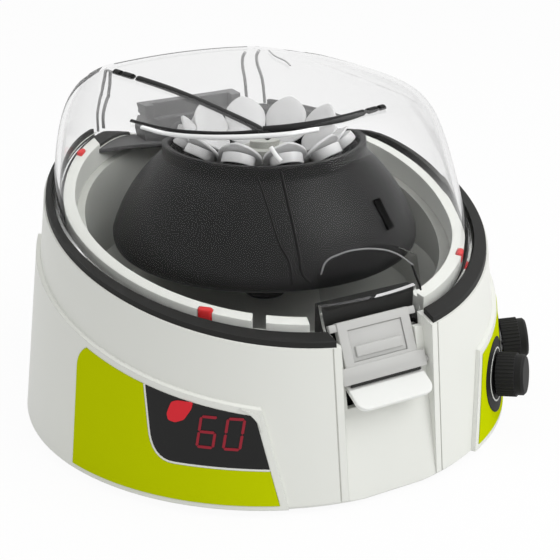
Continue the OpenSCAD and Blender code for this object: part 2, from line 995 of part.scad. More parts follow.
// Leaf spring behind the lever, held by the recess wall below the slot
module latch_spring() {
    foot_z = pivot_z - slot_below;
    foot_y = recess_top_y + (front_rim_z - foot_z) * tan(recess_lean) - wall / cos(recess_lean);
    color("lightsteelblue")
        translate([-spring_w / 2, -foot_y + 2 * seat_gap, foot_z])
            rotate([-recess_lean, 0, 0])
                translate([0, 0, spring_rise - spring_h])
                    cube([spring_w, spring_t, spring_h]);
}

// Safety switch under the ring's front platform
module lid_switch() {
    y = inner_in_r - platform_reach + switch_size[1] / 2 + bowl_t;
    color("black")
        translate([-switch_size[0] / 2, -y - switch_size[1] / 2, rim_at(-y - switch_size[1] / 2)])
            translate([0, 0, -ring_drop - ring_t - switch_size[2] - seat_gap])
                cube(switch_size);
}

// Thin green panel on the left pad, open for the display window
module display_panel() {
    color("#aab808")
        difference() {
            mirror([1, 0, 0])
                panel_sheet();
            window_prism(bezel_w + seat_gap);
        }
}

panel_proud = 0.3;

// Sheet of a panel in its pocket on the right-hand pad
module panel_sheet() {
    intersection() {
        pad_layer(-panel_t + seat_gap, panel_proud);
        panel_shape(seat_gap);
    }
}

function edge_angle(gap) = atan(gap / base_r);

window_slant = 7;
window_fall = 8.2;
window_corner = 13;
window_over = 3;

// One corner arc of the window's outline, as a curve from one point to another round a third
function bend(from, round, to, steps) =
    [for (k = [0 : steps]) let (t = k / steps)
        pow(1 - t, 2) * from + 2 * t * (1 - t) * round + pow(t, 2) * to];

// Outline of the display window, run past the panel's top and front edges: large round lower left corner
function window_outline() =
    let (left = -window_w / 2, right = window_w / 2 + window_over,
        top = window_h / 2 + window_over, low = -window_h / 2)
    concat([[left, top + window_fall / 2], [right - window_slant, top - window_fall / 2], [right, low]],
        bend([left + window_corner, low], [left + window_slant / 2, low],
            [left + window_slant / 3, low + window_corner], 8));

// Prism of the window through the wall, grown by a margin
module window_prism(grow) {
    on_wall(-window_az, window_z, 0)
        linear_extrude(4 * wall + 8 * pad_step, center = true)
            offset(delta = grow)
                polygon(window_outline());
}

module display_bezel() {
    color("white")
        intersection() {
            pad_layer(-panel_t + seat_gap, panel_proud);
            mirror([1, 0, 0])
                panel_shape(seat_gap);
            difference() {
                window_prism(bezel_w);
                window_prism(seat_gap / 2);
            }
        }
}

module display_window() {
    color("#15100f")
        intersection() {
            pad_layer(-panel_t + seat_gap, panel_proud - seat_gap);
            mirror([1, 0, 0])
                panel_shape(seat_gap);
            window_prism(0);
        }
}

lens_t = 0.25;
digit_slant = 0.14;
digit_gap = 4.3;
digit_x = 5.4;
digit_y = 1.1;

// One slanted bar of a digit between two grid points, given in digit widths and heights
module segment(from, to) {
    a = [from[0] * digit_w, from[1] * digit_h];
    b = [to[0] * digit_w, to[1] * digit_h];
    run = (b - a) / norm(b - a);
    side = [-run[1], run[0]] * segment_w / 2;
    ends = [a + run * segment_w * 0.6, b - run * segment_w * 0.6];
    outline = [a + run * segment_w * 0.15, ends[0] + side, ends[1] + side, b - run * segment_w * 0.15,
        ends[1] - side, ends[0] - side];
    polygon([for (p = outline) [p[0] + digit_slant * p[1], p[1]]]);
}

// Digit made of bars, each given by its two grid points
module digit(bars) {
    for (bar = bars)
        segment(bar[0], bar[1]);
}

corners = [[0, 0], [1, 0], [0, 0.5], [1, 0.5], [0, 1], [1, 1]];
loop_bars = [[0, 1], [1, 3], [5, 4], [4, 2], [2, 0]];
six_bars = concat(loop_bars, [[2, 3]]);
zero_bars = concat(loop_bars, [[3, 5]]);

function bars_of(pairs) = [for (pair = pairs) [corners[pair[0]], corners[pair[1]]]];

// Lit digits of the display
module display_digits() {
    color("red")
        intersection() {
            pad_layer(panel_proud - seat_gap / 2, panel_proud + lens_t);
            on_wall(-window_az, window_z, 0)
                linear_extrude(2 * wall + 4 * pad_step)
                    translate([digit_x - digit_w - digit_gap / 2, digit_y - digit_h / 2]) {
                        digit(bars_of(six_bars));
                        translate([digit_w + digit_gap, 0])
                            digit(bars_of(zero_bars));
                    }
        }
}

lamp_w = 10.5;
lamp_h = 7;
lamp_x = -10;
lamp_y = 9;
lamp_slant = 3;

// Lit lamp beside the digits
module speed_lamp() {
    color("red")
        intersection() {
            pad_layer(panel_proud - seat_gap / 2, panel_proud + lens_t);
            mirror([1, 0, 0])
                panel_shape(seat_gap);
            on_wall(-window_az, window_z, 0)
                linear_extrude(2 * wall + 4 * pad_step)
                    translate([lamp_x, lamp_y])
                        polygon([[-lamp_w / 2, -lamp_h / 2], [0, -lamp_h / 2 - lamp_slant / 2],
                            [lamp_w / 2, 0], [lamp_w / 2 - 1, lamp_h / 2], [0, lamp_h / 2],
                            [-lamp_w / 2 - 1, 0]]);
        }
}

display_board_size = [44, 24, 1.6];
board_gap = 3;

// Board behind the display, on spacers that reach the wall
module display_board() {
    color("seagreen")
        on_wall(-window_az, window_z, -wall - board_gap - board_bow - display_board_size[2])
            union() {
                translate([-display_board_size[0] / 2, -display_board_size[1] / 2, 0])
                    cube(display_board_size);
                for (y = [-1, 1])
                    translate([0, y * display_board_size[1] / 3, 0])
                        cylinder(h = display_board_size[2] + board_gap + board_bow - 2 * seat_gap,
                            r = spacer_r);
            }
}

board_bow = pow(display_board_size[0] / 2, 2) / (2 * (base_r - wall));

// Thin green panel on the right pad, open for the encoders
module knob_panel() {
    color("#aab808")
        difference() {
            panel_sheet();
            for (az = [speed_az, time_az])
                on_wall(az, knob_z, 0)
                    cylinder(h = 4 * wall + 4 * pad_step, r = bush_r + seat_gap, center = true);
        }
}

bush_t = 1.5;
bush_r = encoder_r + bush_t;
disc_t = 0.3;
dial_line = 0.8;
disc_top = panel_proud + seat_gap / 2 + disc_t;

// Layer over the panel, cut to a round disc at each knob
module dial_layer(low, high, outer, inner) {
    for (az = [speed_az, time_az])
        intersection() {
            pad_layer(low, high);
            on_wall(az, knob_z, 0)
                difference() {
                    cylinder(h = 2 * wall + 8 * pad_step, r = outer);
                    translate([0, 0, -1])
                        cylinder(h = 4 * wall + 16 * pad_step, r = inner);
                }
        }
}

module dial_discs() {
    color("black")
        dial_layer(panel_proud + seat_gap / 2, disc_top, disc_r, bush_r + seat_gap);
}

module dial_rings() {
    color("white")
        dial_layer(disc_top + seat_gap / 4, disc_top + disc_t / 2, dial_ring_r, dial_ring_r - dial_line);
}

knob_seat = pad_step + disc_top + disc_t + move_gap;
nut_t = 2;
ridge_h = 0.5;
nose_r = knob_r - 0.8;
nose_chamfer = 1;
knob_bore = 9;

// Outline of the knurled part
function knurl() =
    [for (k = [0 : 2 * knob_ridges - 1])
        let (a = 180 * k / knob_ridges, r = knob_r - (k % 2 == 0 ? 0 : ridge_h))
        r * [cos(a), sin(a)]];

// Knob with a knurled part, a smooth nose, a hollow foot and a bore for the shaft
module knob() {
    difference() {
        union() {
            linear_extrude(knob_len)
                polygon(knurl());
            rotate_extrude()
                polygon([[0, 0], [nose_r, 0], [nose_r, knob_len + nose_len - nose_chamfer],
                    [nose_r - nose_chamfer, knob_len + nose_len], [0, knob_len + nose_len]]);
        }
        translate([0, 0, -1])
            cylinder(h = 1 + nut_t + 2 * move_gap, r = nut_out_r + 2 * move_gap);
        translate([0, 0, -1])
            cylinder(h = 1 + knob_bore, r = encoder_r + seat_gap / 5);
    }
}

nut_out_r = bush_r + 1.6;

module speed_knob() {
    color("#303030")
        on_wall(speed_az, knob_z, knob_seat)
            knob();
}

module time_knob() {
    color("#303030")
        on_wall(time_az, knob_z, knob_seat)
            knob();
}

encoder_size = 12;
encoder_depth = 7;
bush_top = pad_step + disc_top + disc_t + nut_t + move_gap;
encoder_bow = pow(encoder_size / 2, 2) / (2 * (base_r - wall));
encoder_seat = -wall - encoder_bow - seat_gap;

// Shaft that a knob turns
module encoder_shaft() {
    translate([0, 0, encoder_seat - encoder_depth / 2])
        cylinder(h = knob_seat + knob_bore - encoder_seat + encoder_depth / 2 - seat_gap, r = encoder_r);
}

module speed_shaft() {
    color("silver")
        on_wall(speed_az, knob_z, 0)
            encoder_shaft();
}

module time_shaft() {
    color("silver")
        on_wall(time_az, knob_z, 0)
            encoder_shaft();
}

// Encoder body inside the wall, with its bush through the panel
module encoder() {
    difference() {
        union() {
            translate([-encoder_size / 2, -encoder_size / 2, encoder_seat - encoder_depth])
                cube([encoder_size, encoder_size, encoder_depth]);
            translate([0, 0, encoder_seat - 1])
                cylinder(h = bush_top - encoder_seat + 1, r = bush_r);
        }
        translate([0, 0, encoder_seat - encoder_depth / 2 - run_gap])
            cylinder(h = bush_top - encoder_seat + encoder_depth, r = encoder_r + run_gap);
    }
}

module speed_encoder() {
    color("dimgray")
        on_wall(speed_az, knob_z, 0)
            encoder();
}

module time_encoder() {
    color("dimgray")
        on_wall(time_az, knob_z, 0)
            encoder();
}

// Flat round nuts that hold the encoders in the wall
module encoder_nuts() {
    color("silver")
        for (az = [speed_az, time_az])
            on_wall(az, knob_z, pad_step + disc_top + disc_t)
                difference() {
                    cylinder(h = nut_t, r = nut_out_r);
                    translate([0, 0, -1])
                        cylinder(h = nut_t + 2, r = bush_r + seat_gap / 5);
                }
}

// Motor below the chamber
module motor_can() {
    color("gray")
        difference() {
            translate([0, 0, motor_top - motor_h])
                cylinder(h = motor_h, r = motor_r);
            translate([0, 0, motor_top - motor_h + 2 * wall - run_gap])
                cylinder(h = motor_h, r = shaft_r + run_gap);
        }
}

bracket_r = damper_ring + damper_r + 1;

// Plate that carries the motor on its dampers
module motor_bracket() {
    color("lightgray")
        difference() {
            translate([0, 0, bracket_z])
                cylinder(h = bracket_t, r = bracket_r);
            translate([0, 0, bracket_z - 1])
                cylinder(h = bracket_t + 2, r = shaft_r + wall);
            for (turn = motor_turns)
                rotate([0, 0, turn])
                    translate([0, -damper_ring, bracket_z - 1])
                        cylinder(h = bracket_t + 2, r = damper_bore + seat_gap);
        }
}

module motor_dampers() {
    color("black")
        for (turn = motor_turns)
            rotate([0, 0, turn])
                translate([0, -damper_ring, base_t + motor_post_h])
                    difference() {
                        cylinder(h = damper_h, r = damper_r);
                        translate([0, 0, -1])
                            cylinder(h = damper_h + 2, r = damper_bore + seat_gap);
                    }
}

motor_head_h = 0.8;
motor_screw_h = motor_post_h / 2 + damper_h + bracket_t + seat_gap;

module motor_screws() {
    color("silver")
        for (turn = motor_turns)
            rotate([0, 0, turn])
                translate([0, -damper_ring, 0])
                    union() {
                        translate([0, 0, bracket_z + bracket_t])
                            cylinder(h = motor_head_h, r = screw_head_r);
                        translate([0, 0, base_t + motor_post_h / 2])
                            cylinder(h = motor_screw_h, r = damper_bore - seat_gap / 5);
                    }
}

rotor_hub_r = 14;
rotor_hub_h = 4;
dish_depth = 13.5;
hub_top = rotor_z + rotor_h - dish_depth + rotor_hub_h;
nut_h = 10;
nut_cover = 2;
nut_flange_h = 6;
nut_grip_r = 0.6 * nut_r;
shaft_end = hub_top + nut_h - nut_cover - 1;

module motor_shaft() {
    color("silver")
        translate([0, 0, motor_top - motor_h + 2 * wall])
            cylinder(h = shaft_end - motor_top + motor_h - 2 * wall, r = shaft_r);
}

// Rubber seal round the shaft in the chamber's floor
module shaft_seal() {
    color("black")
        translate([0, 0, bowl_z - bowl_t])
            difference() {
                cylinder(h = bowl_t + 1, r = seal_r);
                translate([0, 0, -1])
                    cylinder(h = bowl_t + 3, r = shaft_r + move_gap);
            }
}

rotor_top = rotor_z + rotor_h;
lip_h = 6.5;
rotor_skin = 3;
rotor_under = 6;
rotor_edge = 1;
shoulder_h = 6.5;
bulge_r = 63;
bulge_h = 26;
bell_steps = 8;
dish_slope = 2;
sleeve_t = 1;

// Frame of one sample tube: Z runs from its collar down to its tip
module at_tube(turn) {
    rotate([0, 0, turn + rotor_turn])
        translate([0, -rotor_top_r, rotor_top])
            rotate([180 - tube_lean, 0, 0])
                translate([0, -tube_inset, -tube_rise])
                    children();
}

// Bell of the rotor from its collar down to its shoulder
function bell() = bend([rotor_top_r, rotor_top - lip_h], [bulge_r, rotor_z + bulge_h],
    [rotor_r, rotor_z + shoulder_h], bell_steps);

// Charcoal bell with a collar, a hub, a dish and a sleeve for each tube
module rotor_cone() {
    color("#383838")
        difference() {
            union() {
                rotate_extrude($fn = 120)
                    polygon(concat([[0, rotor_top - dish_depth], [rotor_hub_r, rotor_top - dish_depth],
                        [rotor_top_r - rotor_skin - dish_slope, rotor_top - dish_depth],
                        [rotor_top_r - rotor_skin, rotor_top], [rotor_top_r, rotor_top]], bell(),
                        [[rotor_r - rotor_edge, rotor_z + rotor_edge], [rotor_r - rotor_skin, rotor_z],
                        [rotor_r - 2 * rotor_skin, rotor_z + rotor_under], [0, rotor_z + rotor_under]]));
                translate([0, 0, rotor_top - dish_depth - 1])
                    cylinder(h = rotor_hub_h + 1, r = rotor_hub_r);
                for (k = [0 : tube_count - 1])
                    at_tube(360 * k / tube_count)
                        cylinder(h = tube_len / 2, r = tube_r + sleeve_t);
            }
            for (k = [0 : tube_count - 1])
                at_tube(360 * k / tube_count)
                    translate([0, 0, -1])
                        cylinder(h = tube_len + 1, r = tube_r + seat_gap);
            translate([0, 0, rotor_z])
                cylinder(h = rotor_h, r = shaft_r + seat_gap / 5);
        }
}

module rotor_nut() {
    color("gray")
        translate([0, 0, hub_top])
            difference() {
                union() {
                    cylinder(h = nut_flange_h, r = nut_r);
                    cylinder(h = nut_h, r = nut_grip_r);
                }
                translate([0, 0, -1])
                    cylinder(h = nut_h - nut_cover + seat_gap, r = shaft_r + seat_gap / 5);
            }
}

collar_t = 1.5;
collar_w = 1.2;
tube_tip_r = 0.4 * tube_r;

// Tapered sample tubes, each hung by its collar on a sleeve
module sample_tubes() {
    color("white")
        for (k = [0 : tube_count - 1])
            at_tube(360 * k / tube_count)
                rotate_extrude()
                    polygon([[0, -collar_t], [tube_r + collar_w, -collar_t], [tube_r + collar_w, 0],
                        [tube_r, 0], [tube_r, tube_len / 2],
                        [tube_tip_r, tube_len - 1], [0, tube_len - 1]]);
}

cap_t = 2;
cap_steps = 32;
cap_mid = 2.4;

// Leaf-shaped outline of a cap, set outward from the tube's axis
function cap_outline() =
    [for (k = [0 : cap_steps - 1]) let (a = 360 * k / cap_steps)
        [cap_w / 2 * sin(a), cap_mid + cap_len / 2 * cos(a)]];

// Caps on the tubes
module tube_caps() {
    color("white")
        for (k = [0 : tube_count - 1])
            at_tube(360 * k / tube_count)
                translate([0, 0, -collar_t - cap_t])
                    linear_extrude(cap_t)
                        polygon(cap_outline());
}

board_z = base_t + 5;
board_t = 1.6;
board_hole_x = 22;
board_hole_y = 9;
board_w = 54;
board_d = 26;
spacer_r = 2.5;
chip_w = 12;
chip_h = 2.2;
can_r = 4;
can_h = 9;
coil_w = 20;
coil_d = 18;
coil_h = 13;
main_board_at = [-56, -48];
supply_at = [-33, 55];

// Circuit board on its spacers
module board(place) {
    translate([place[0] - board_w / 2, place[1] - board_d / 2, board_z])
        cube([board_w, board_d, board_t]);
}

module main_board() {
    color("seagreen")
        union() {
            board(main_board_at);
            translate([main_board_at[0] - chip_w, main_board_at[1] - chip_w / 2, board_z + board_t / 2])
                cube([chip_w, chip_w, board_t / 2 + chip_h]);
            translate([main_board_at[0] + chip_w, main_board_at[1] - can_r, board_z + board_t / 2])
                cylinder(h = board_t / 2 + can_h, r = can_r);
        }
}

module power_supply() {
    color("seagreen")
        union() {
            board(supply_at);
            translate([supply_at[0] - board_hole_x, supply_at[1] - coil_d / 2 - 1, board_z + board_t / 2])
                cube([coil_w, coil_d, board_t / 2 + coil_h]);
            translate([supply_at[0] + chip_w, supply_at[1] - board_hole_y, board_z + board_t / 2])
                cylinder(h = board_t / 2 + coil_h, r = can_r);
        }
}

inlet_body_w = 27.6;
inlet_body_h = 20.6;
inlet_deep = 20;
inlet_room_w = 24.4;
inlet_room_h = 16.6;
inlet_floor = 3;
flange_t = 2;

// Mains inlet in the flat back
module power_inlet() {
    color("black")
        translate([-inlet_x, back_y, inlet_z])
            difference() {
                union() {
                    translate([-inlet_w / 2, seat_gap / 2, -inlet_h / 2])
                        cube([inlet_w, flange_t, inlet_h]);
                    translate([-inlet_body_w / 2 + seat_gap, -inlet_deep, -inlet_body_h / 2 + seat_gap])
                        cube([inlet_body_w - 2 * seat_gap, inlet_deep + flange_t,
                            inlet_body_h - 2 * seat_gap]);
                }
                translate([-inlet_room_w / 2, flange_t - inlet_deep + inlet_floor, -inlet_room_h / 2])
                    cube([inlet_room_w, inlet_deep + 1, inlet_room_h]);
                for (pin = inlet_pin_at)
                    translate([pin[0] - pin_w / 2 - pin_gap, -2 * inlet_deep, pin[1] - pin_t / 2 - pin_gap])
                        cube([pin_w + 2 * pin_gap, 2 * inlet_deep, pin_t + 2 * pin_gap]);
            }
}

inlet_pin_at = [[-7, 3.5], [7, 3.5], [0, -3.5]];
pin_w = 2;
pin_t = 4;
pin_gap = seat_gap / 5;
pin_tail = 6;

module inlet_pins() {
    color("silver")
        for (pin = inlet_pin_at)
            translate([-inlet_x + pin[0] - pin_w / 2, back_y - inlet_deep - pin_tail,
                inlet_z + pin[1] - pin_t / 2])
                cube([pin_w, inlet_deep, pin_t]);
}

switch_body_w = 13;
switch_body_h = 19.4;
switch_deep = 14;
rocker_w = 9.6;
rocker_r = 8;
rocker_axle_r = 1.2;
rocker_axle_len = rocker_w + 2;
rocker_face = 0.62 * rocker_r;

// Frame of the power switch in the flat back
module power_switch() {
    color("black")
        translate([inlet_x, back_y, inlet_z])
            difference() {
                union() {
                    translate([-switch_w / 2, seat_gap / 2, -switch_h / 2])
                        cube([switch_w, flange_t, switch_h]);
                    translate([-switch_body_w / 2 + seat_gap, -switch_deep, -switch_body_h / 2 + seat_gap])
                        cube([switch_body_w - 2 * seat_gap, switch_deep + flange_t,
                            switch_body_h - 2 * seat_gap]);
                }
                translate([-rocker_w / 2 - move_gap / 2, -rocker_r - move_gap, -rocker_r - move_gap])
                    cube([rocker_w + move_gap, 2 * rocker_r + 2 * flange_t, 2 * rocker_r + 2 * move_gap]);
                rotate([0, 90, 0])
                    cylinder(h = rocker_axle_len + 2 * seat_gap, r = rocker_axle_r + run_gap,
                        center = true);
            }
}

// Rocker of the power switch, tipped to off
module power_rocker() {
    color("#303030")
        translate([inlet_x, back_y, inlet_z])
            rotate([rocker_tilt, 0, 0])
                union() {
                    difference() {
                        rotate([0, 90, 0])
                            cylinder(h = rocker_w, r = rocker_r, center = true);
                        for (side = [-1, 1])
                            rotate([side * 2 * rocker_tilt, 0, 0])
                                translate([-rocker_w, rocker_face, -rocker_r + side * rocker_r])
                                    cube([2 * rocker_w, rocker_r, 2 * rocker_r]);
                    }
                    rotate([0, 90, 0])
                        cylinder(h = rocker_axle_len, r = rocker_axle_r, center = true);
                }
}

lead_r = 1.1;

// Leads from the inlet's pins down to the supply board
module inlet_leads() {
    color("saddlebrown")
        for (k = [0, 1, 2])
            let (pin = inlet_pin_at[k],
                low = board_z + board_t + seat_gap,
                x = -inlet_x + pin[0],
                y = back_y - inlet_deep - pin_tail - lead_r - seat_gap)
            translate([x, y, low])
                cylinder(h = inlet_z + pin[1] - low, r = lead_r);
}

placed() body_shell();
placed() base_plate();
placed() rubber_feet();
placed() base_screws();
placed() rim_ring();
placed() inner_rim();
placed() lid_buffers();
placed() rotor_bowl();
placed() hinge_cover();
placed() hinge_block();
placed() hinge_pin();
placed() lid_arms();
placed() arm_screws();
placed() lid_dome();
placed() lid_catch();
placed() latch_lever();
placed() latch_inset();
placed() latch_pin();
placed() latch_baffle();
placed() latch_spring();
placed() lid_switch();
placed() display_panel();
placed() display_bezel();
placed() display_window();
placed() display_digits();
placed() speed_lamp();
placed() display_board();
placed() knob_panel();
placed() dial_discs();
placed() dial_rings();
placed() speed_knob();
placed() time_knob();
placed() speed_shaft();
placed() time_shaft();
placed() speed_encoder();
placed() time_encoder();
placed() encoder_nuts();
placed() motor_can();
placed() motor_bracket();
placed() motor_dampers();
placed() motor_screws();
placed() motor_shaft();
placed() shaft_seal();
placed() rotor_cone();
placed() rotor_nut();
placed() sample_tubes();
placed() tube_caps();
placed() main_board();
placed() power_supply();
placed() power_inlet();
placed() inlet_pins();
placed() power_switch();
placed() power_rocker();
placed() inlet_leads();
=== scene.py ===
import bpy
import json
from math import sin, cos, tan, pi, radians, atan2, sqrt
from mathutils import Vector, Matrix


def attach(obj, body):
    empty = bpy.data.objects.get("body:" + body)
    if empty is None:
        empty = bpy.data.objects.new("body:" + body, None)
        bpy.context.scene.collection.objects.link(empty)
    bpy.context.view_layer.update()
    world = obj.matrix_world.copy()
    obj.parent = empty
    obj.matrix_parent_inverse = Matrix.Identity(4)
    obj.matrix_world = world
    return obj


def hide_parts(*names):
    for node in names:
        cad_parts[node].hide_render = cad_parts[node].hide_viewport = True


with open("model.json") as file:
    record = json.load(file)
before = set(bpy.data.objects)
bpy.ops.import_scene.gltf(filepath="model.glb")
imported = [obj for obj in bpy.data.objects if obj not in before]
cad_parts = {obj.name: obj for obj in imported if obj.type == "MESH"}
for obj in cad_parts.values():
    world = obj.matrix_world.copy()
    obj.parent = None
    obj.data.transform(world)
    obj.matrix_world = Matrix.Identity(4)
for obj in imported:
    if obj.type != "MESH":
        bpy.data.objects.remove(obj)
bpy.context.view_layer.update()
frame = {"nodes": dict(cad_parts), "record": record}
nodes = frame["nodes"]
print("frame loaded,", len(nodes), "solids")

mm = 0.001
# where the drum's axis and bottom edge lie in the frame, mm
drumAxis = {"y": 9.293, "foot": 2.0}
# weld distance in metres, smoothing angle, sides of small round pieces
meshing = {"weld": 0.00001, "smooth": 35, "roundSides": 40}


def atDrum(x, y, z):
    # drum millimetres to the frame's metres
    return Vector((x, y + drumAxis["y"], z + drumAxis["foot"])) * mm


def clearSelection():
    if bpy.context.object and bpy.context.object.mode != "OBJECT":
        bpy.ops.object.mode_set(mode="OBJECT")
    bpy.ops.object.select_all(action="DESELECT")


def chosen(piece):
    # only this piece selected and active
    clearSelection()
    piece.select_set(True)
    bpy.context.view_layer.objects.active = piece
    return piece


def started(name):
    # the piece just added gets its name
    piece = bpy.context.object
    piece.name = name
    piece.data.name = name
    return piece


def editAll():
    bpy.ops.object.mode_set(mode="EDIT")
    bpy.ops.mesh.select_all(action="SELECT")


def editDone():
    bpy.ops.object.mode_set(mode="OBJECT")


def settle(piece):
    # place and size go into the mesh
    chosen(piece)
    bpy.ops.object.transform_apply(location=True, rotation=True, scale=True)
    return piece


def box(name, size, place=(0, 0, 0)):
    # block of this size round a place, both in metres
    clearSelection()
    bpy.ops.mesh.primitive_cube_add(size=1)
    piece = started(name)
    piece.scale = size
    piece.location = place
    return settle(piece)


def joined(pieces, name):
    # several pieces as one mesh
    chosen(pieces[0])
    for other in pieces[1:]:
        other.select_set(True)
    bpy.ops.object.join()
    return started(name)


def smoothed(piece, angle=meshing["smooth"]):
    chosen(piece)
    bpy.ops.object.shade_smooth_by_angle(angle=radians(angle))
    return piece


def withModifier(piece, kind, **values):
    chosen(piece)
    modifier = piece.modifiers.new(kind.lower(), kind)
    for key, value in values.items():
        setattr(modifier, key, value)
    bpy.ops.object.modifier_apply(modifier=modifier.name)
    return piece


def softened(piece, width, segments, angle=None):
    # bevel in mm; with an angle, only on edges sharper than it
    limit = {"limit_method": "ANGLE", "angle_limit": radians(angle)} if angle else {}
    return withModifier(piece, "BEVEL", width=width * mm, segments=segments, **limit)


def thickened(piece, wall, **values):
    # wall in mm, grown inward
    return withModifier(piece, "SOLIDIFY", thickness=wall * mm, offset=-1.0, **values)


def merged(piece, other, operation):
    # exact boolean, after which the other piece goes
    withModifier(piece, "BOOLEAN", operation=operation, solver="EXACT", object=other)
    bpy.data.objects.remove(other)
    return piece


def outward(piece):
    # doubles welded and normals turned out
    chosen(piece)
    editAll()
    bpy.ops.mesh.remove_doubles(threshold=meshing["weld"])
    bpy.ops.mesh.normals_make_consistent(inside=False)
    editDone()
    return piece


def wear(piece, body, material):
    piece.data.materials.clear()
    piece.data.materials.append(material)
    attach(piece, body)
    return piece


# shader helpers

grainLook = {"fineDetail": 3, "slowDetail": 4}
edgeLook = {"samples": 4, "flat": 0.995, "sharp": 0.8}
plainLook = {"edgeShare": 0.6, "edgeLift": 0.02, "roughSpread": 0.06, "roughLeast": 0.02,
             "bumpHigh": 0.0002, "softRadius": 0.003}
clearLook = {"grain": 500.0, "patch": 22.0, "smear": 0.004, "rimBlend": 0.1, "shadow": 0.94}


def addNode(tree, kind, place, **values):
    node = tree.nodes.new(kind)
    node.location = place
    for key, value in values.items():
        setattr(node, key, value)
    return node


def newGroup(name, inputs, outputs):
    group = bpy.data.node_groups.new(name, "ShaderNodeTree")
    for label, kind, default in inputs:
        socket = group.interface.new_socket(label, in_out="INPUT", socket_type=kind)
        socket.default_value = default
    for label, kind in outputs:
        group.interface.new_socket(label, in_out="OUTPUT", socket_type=kind)
    enter = addNode(group, "NodeGroupInput", (-900, 0))
    leave = addNode(group, "NodeGroupOutput", (600, 0))
    return group, enter, leave


def makeGrainGroup():
    # fine moulded texture and slow tone changes
    group, enter, leave = newGroup(
        "mouldedGrain",
        [("Grain Size", "NodeSocketFloat", 900.0), ("Patch Size", "NodeSocketFloat", 14.0)],
        [("Tone", "NodeSocketFloat"), ("Height", "NodeSocketFloat")])
    link = group.links.new
    where = addNode(group, "ShaderNodeTexCoord", (-900, 300))
    fine = addNode(group, "ShaderNodeTexNoise", (-500, 100))
    fine.inputs["Detail"].default_value = grainLook["fineDetail"]
    slow = addNode(group, "ShaderNodeTexNoise", (-500, -200))
    slow.inputs["Detail"].default_value = grainLook["slowDetail"]
    link(where.outputs["Object"], fine.inputs["Vector"])
    link(where.outputs["Object"], slow.inputs["Vector"])
    link(enter.outputs["Grain Size"], fine.inputs["Scale"])
    link(enter.outputs["Patch Size"], slow.inputs["Scale"])
    link(slow.outputs["Fac"], leave.inputs["Tone"])
    link(fine.outputs["Fac"], leave.inputs["Height"])
    return group


def makeEdgeGroup():
    # rounded normal at the edges and a mask of where they are
    group, enter, leave = newGroup(
        "softEdge",
        [("Width", "NodeSocketFloat", 0.0005)],
        [("Edge", "NodeSocketFloat"), ("Normal", "NodeSocketVector")])
    link = group.links.new
    bevel = addNode(group, "ShaderNodeBevel", (-600, 0), samples=edgeLook["samples"])
    geometry = addNode(group, "ShaderNodeNewGeometry", (-600, -200))
    dot = addNode(group, "ShaderNodeVectorMath", (-300, -100), operation="DOT_PRODUCT")
    spread = addNode(group, "ShaderNodeMapRange", (-50, -100))
    spread.inputs["From Min"].default_value = edgeLook["flat"]
    spread.inputs["From Max"].default_value = edgeLook["sharp"]
    link(enter.outputs["Width"], bevel.inputs["Radius"])
    link(bevel.outputs["Normal"], dot.inputs[0])
    link(geometry.outputs["Normal"], dot.inputs[1])
    link(dot.outputs["Value"], spread.inputs["Value"])
    link(spread.outputs["Result"], leave.inputs["Edge"])
    link(bevel.outputs["Normal"], leave.inputs["Normal"])
    return group


grainGroup = makeGrainGroup()
edgeGroup = makeEdgeGroup()


def groupNode(tree, group, place, **values):
    node = addNode(tree, "ShaderNodeGroup", place, node_tree=group)
    for key, value in values.items():
        node.inputs[key.replace("_", " ")].default_value = value
    return node


def opaque(colour):
    return tuple(colour) + (1.0,)


def tinted(colour, factor):
    return opaque(min(1.0, c * factor) for c in colour)


def newMaterial(name):
    material = bpy.data.materials.new(name)
    material.use_nodes = True
    tree = material.node_tree
    return material, tree, tree.nodes["Principled BSDF"]


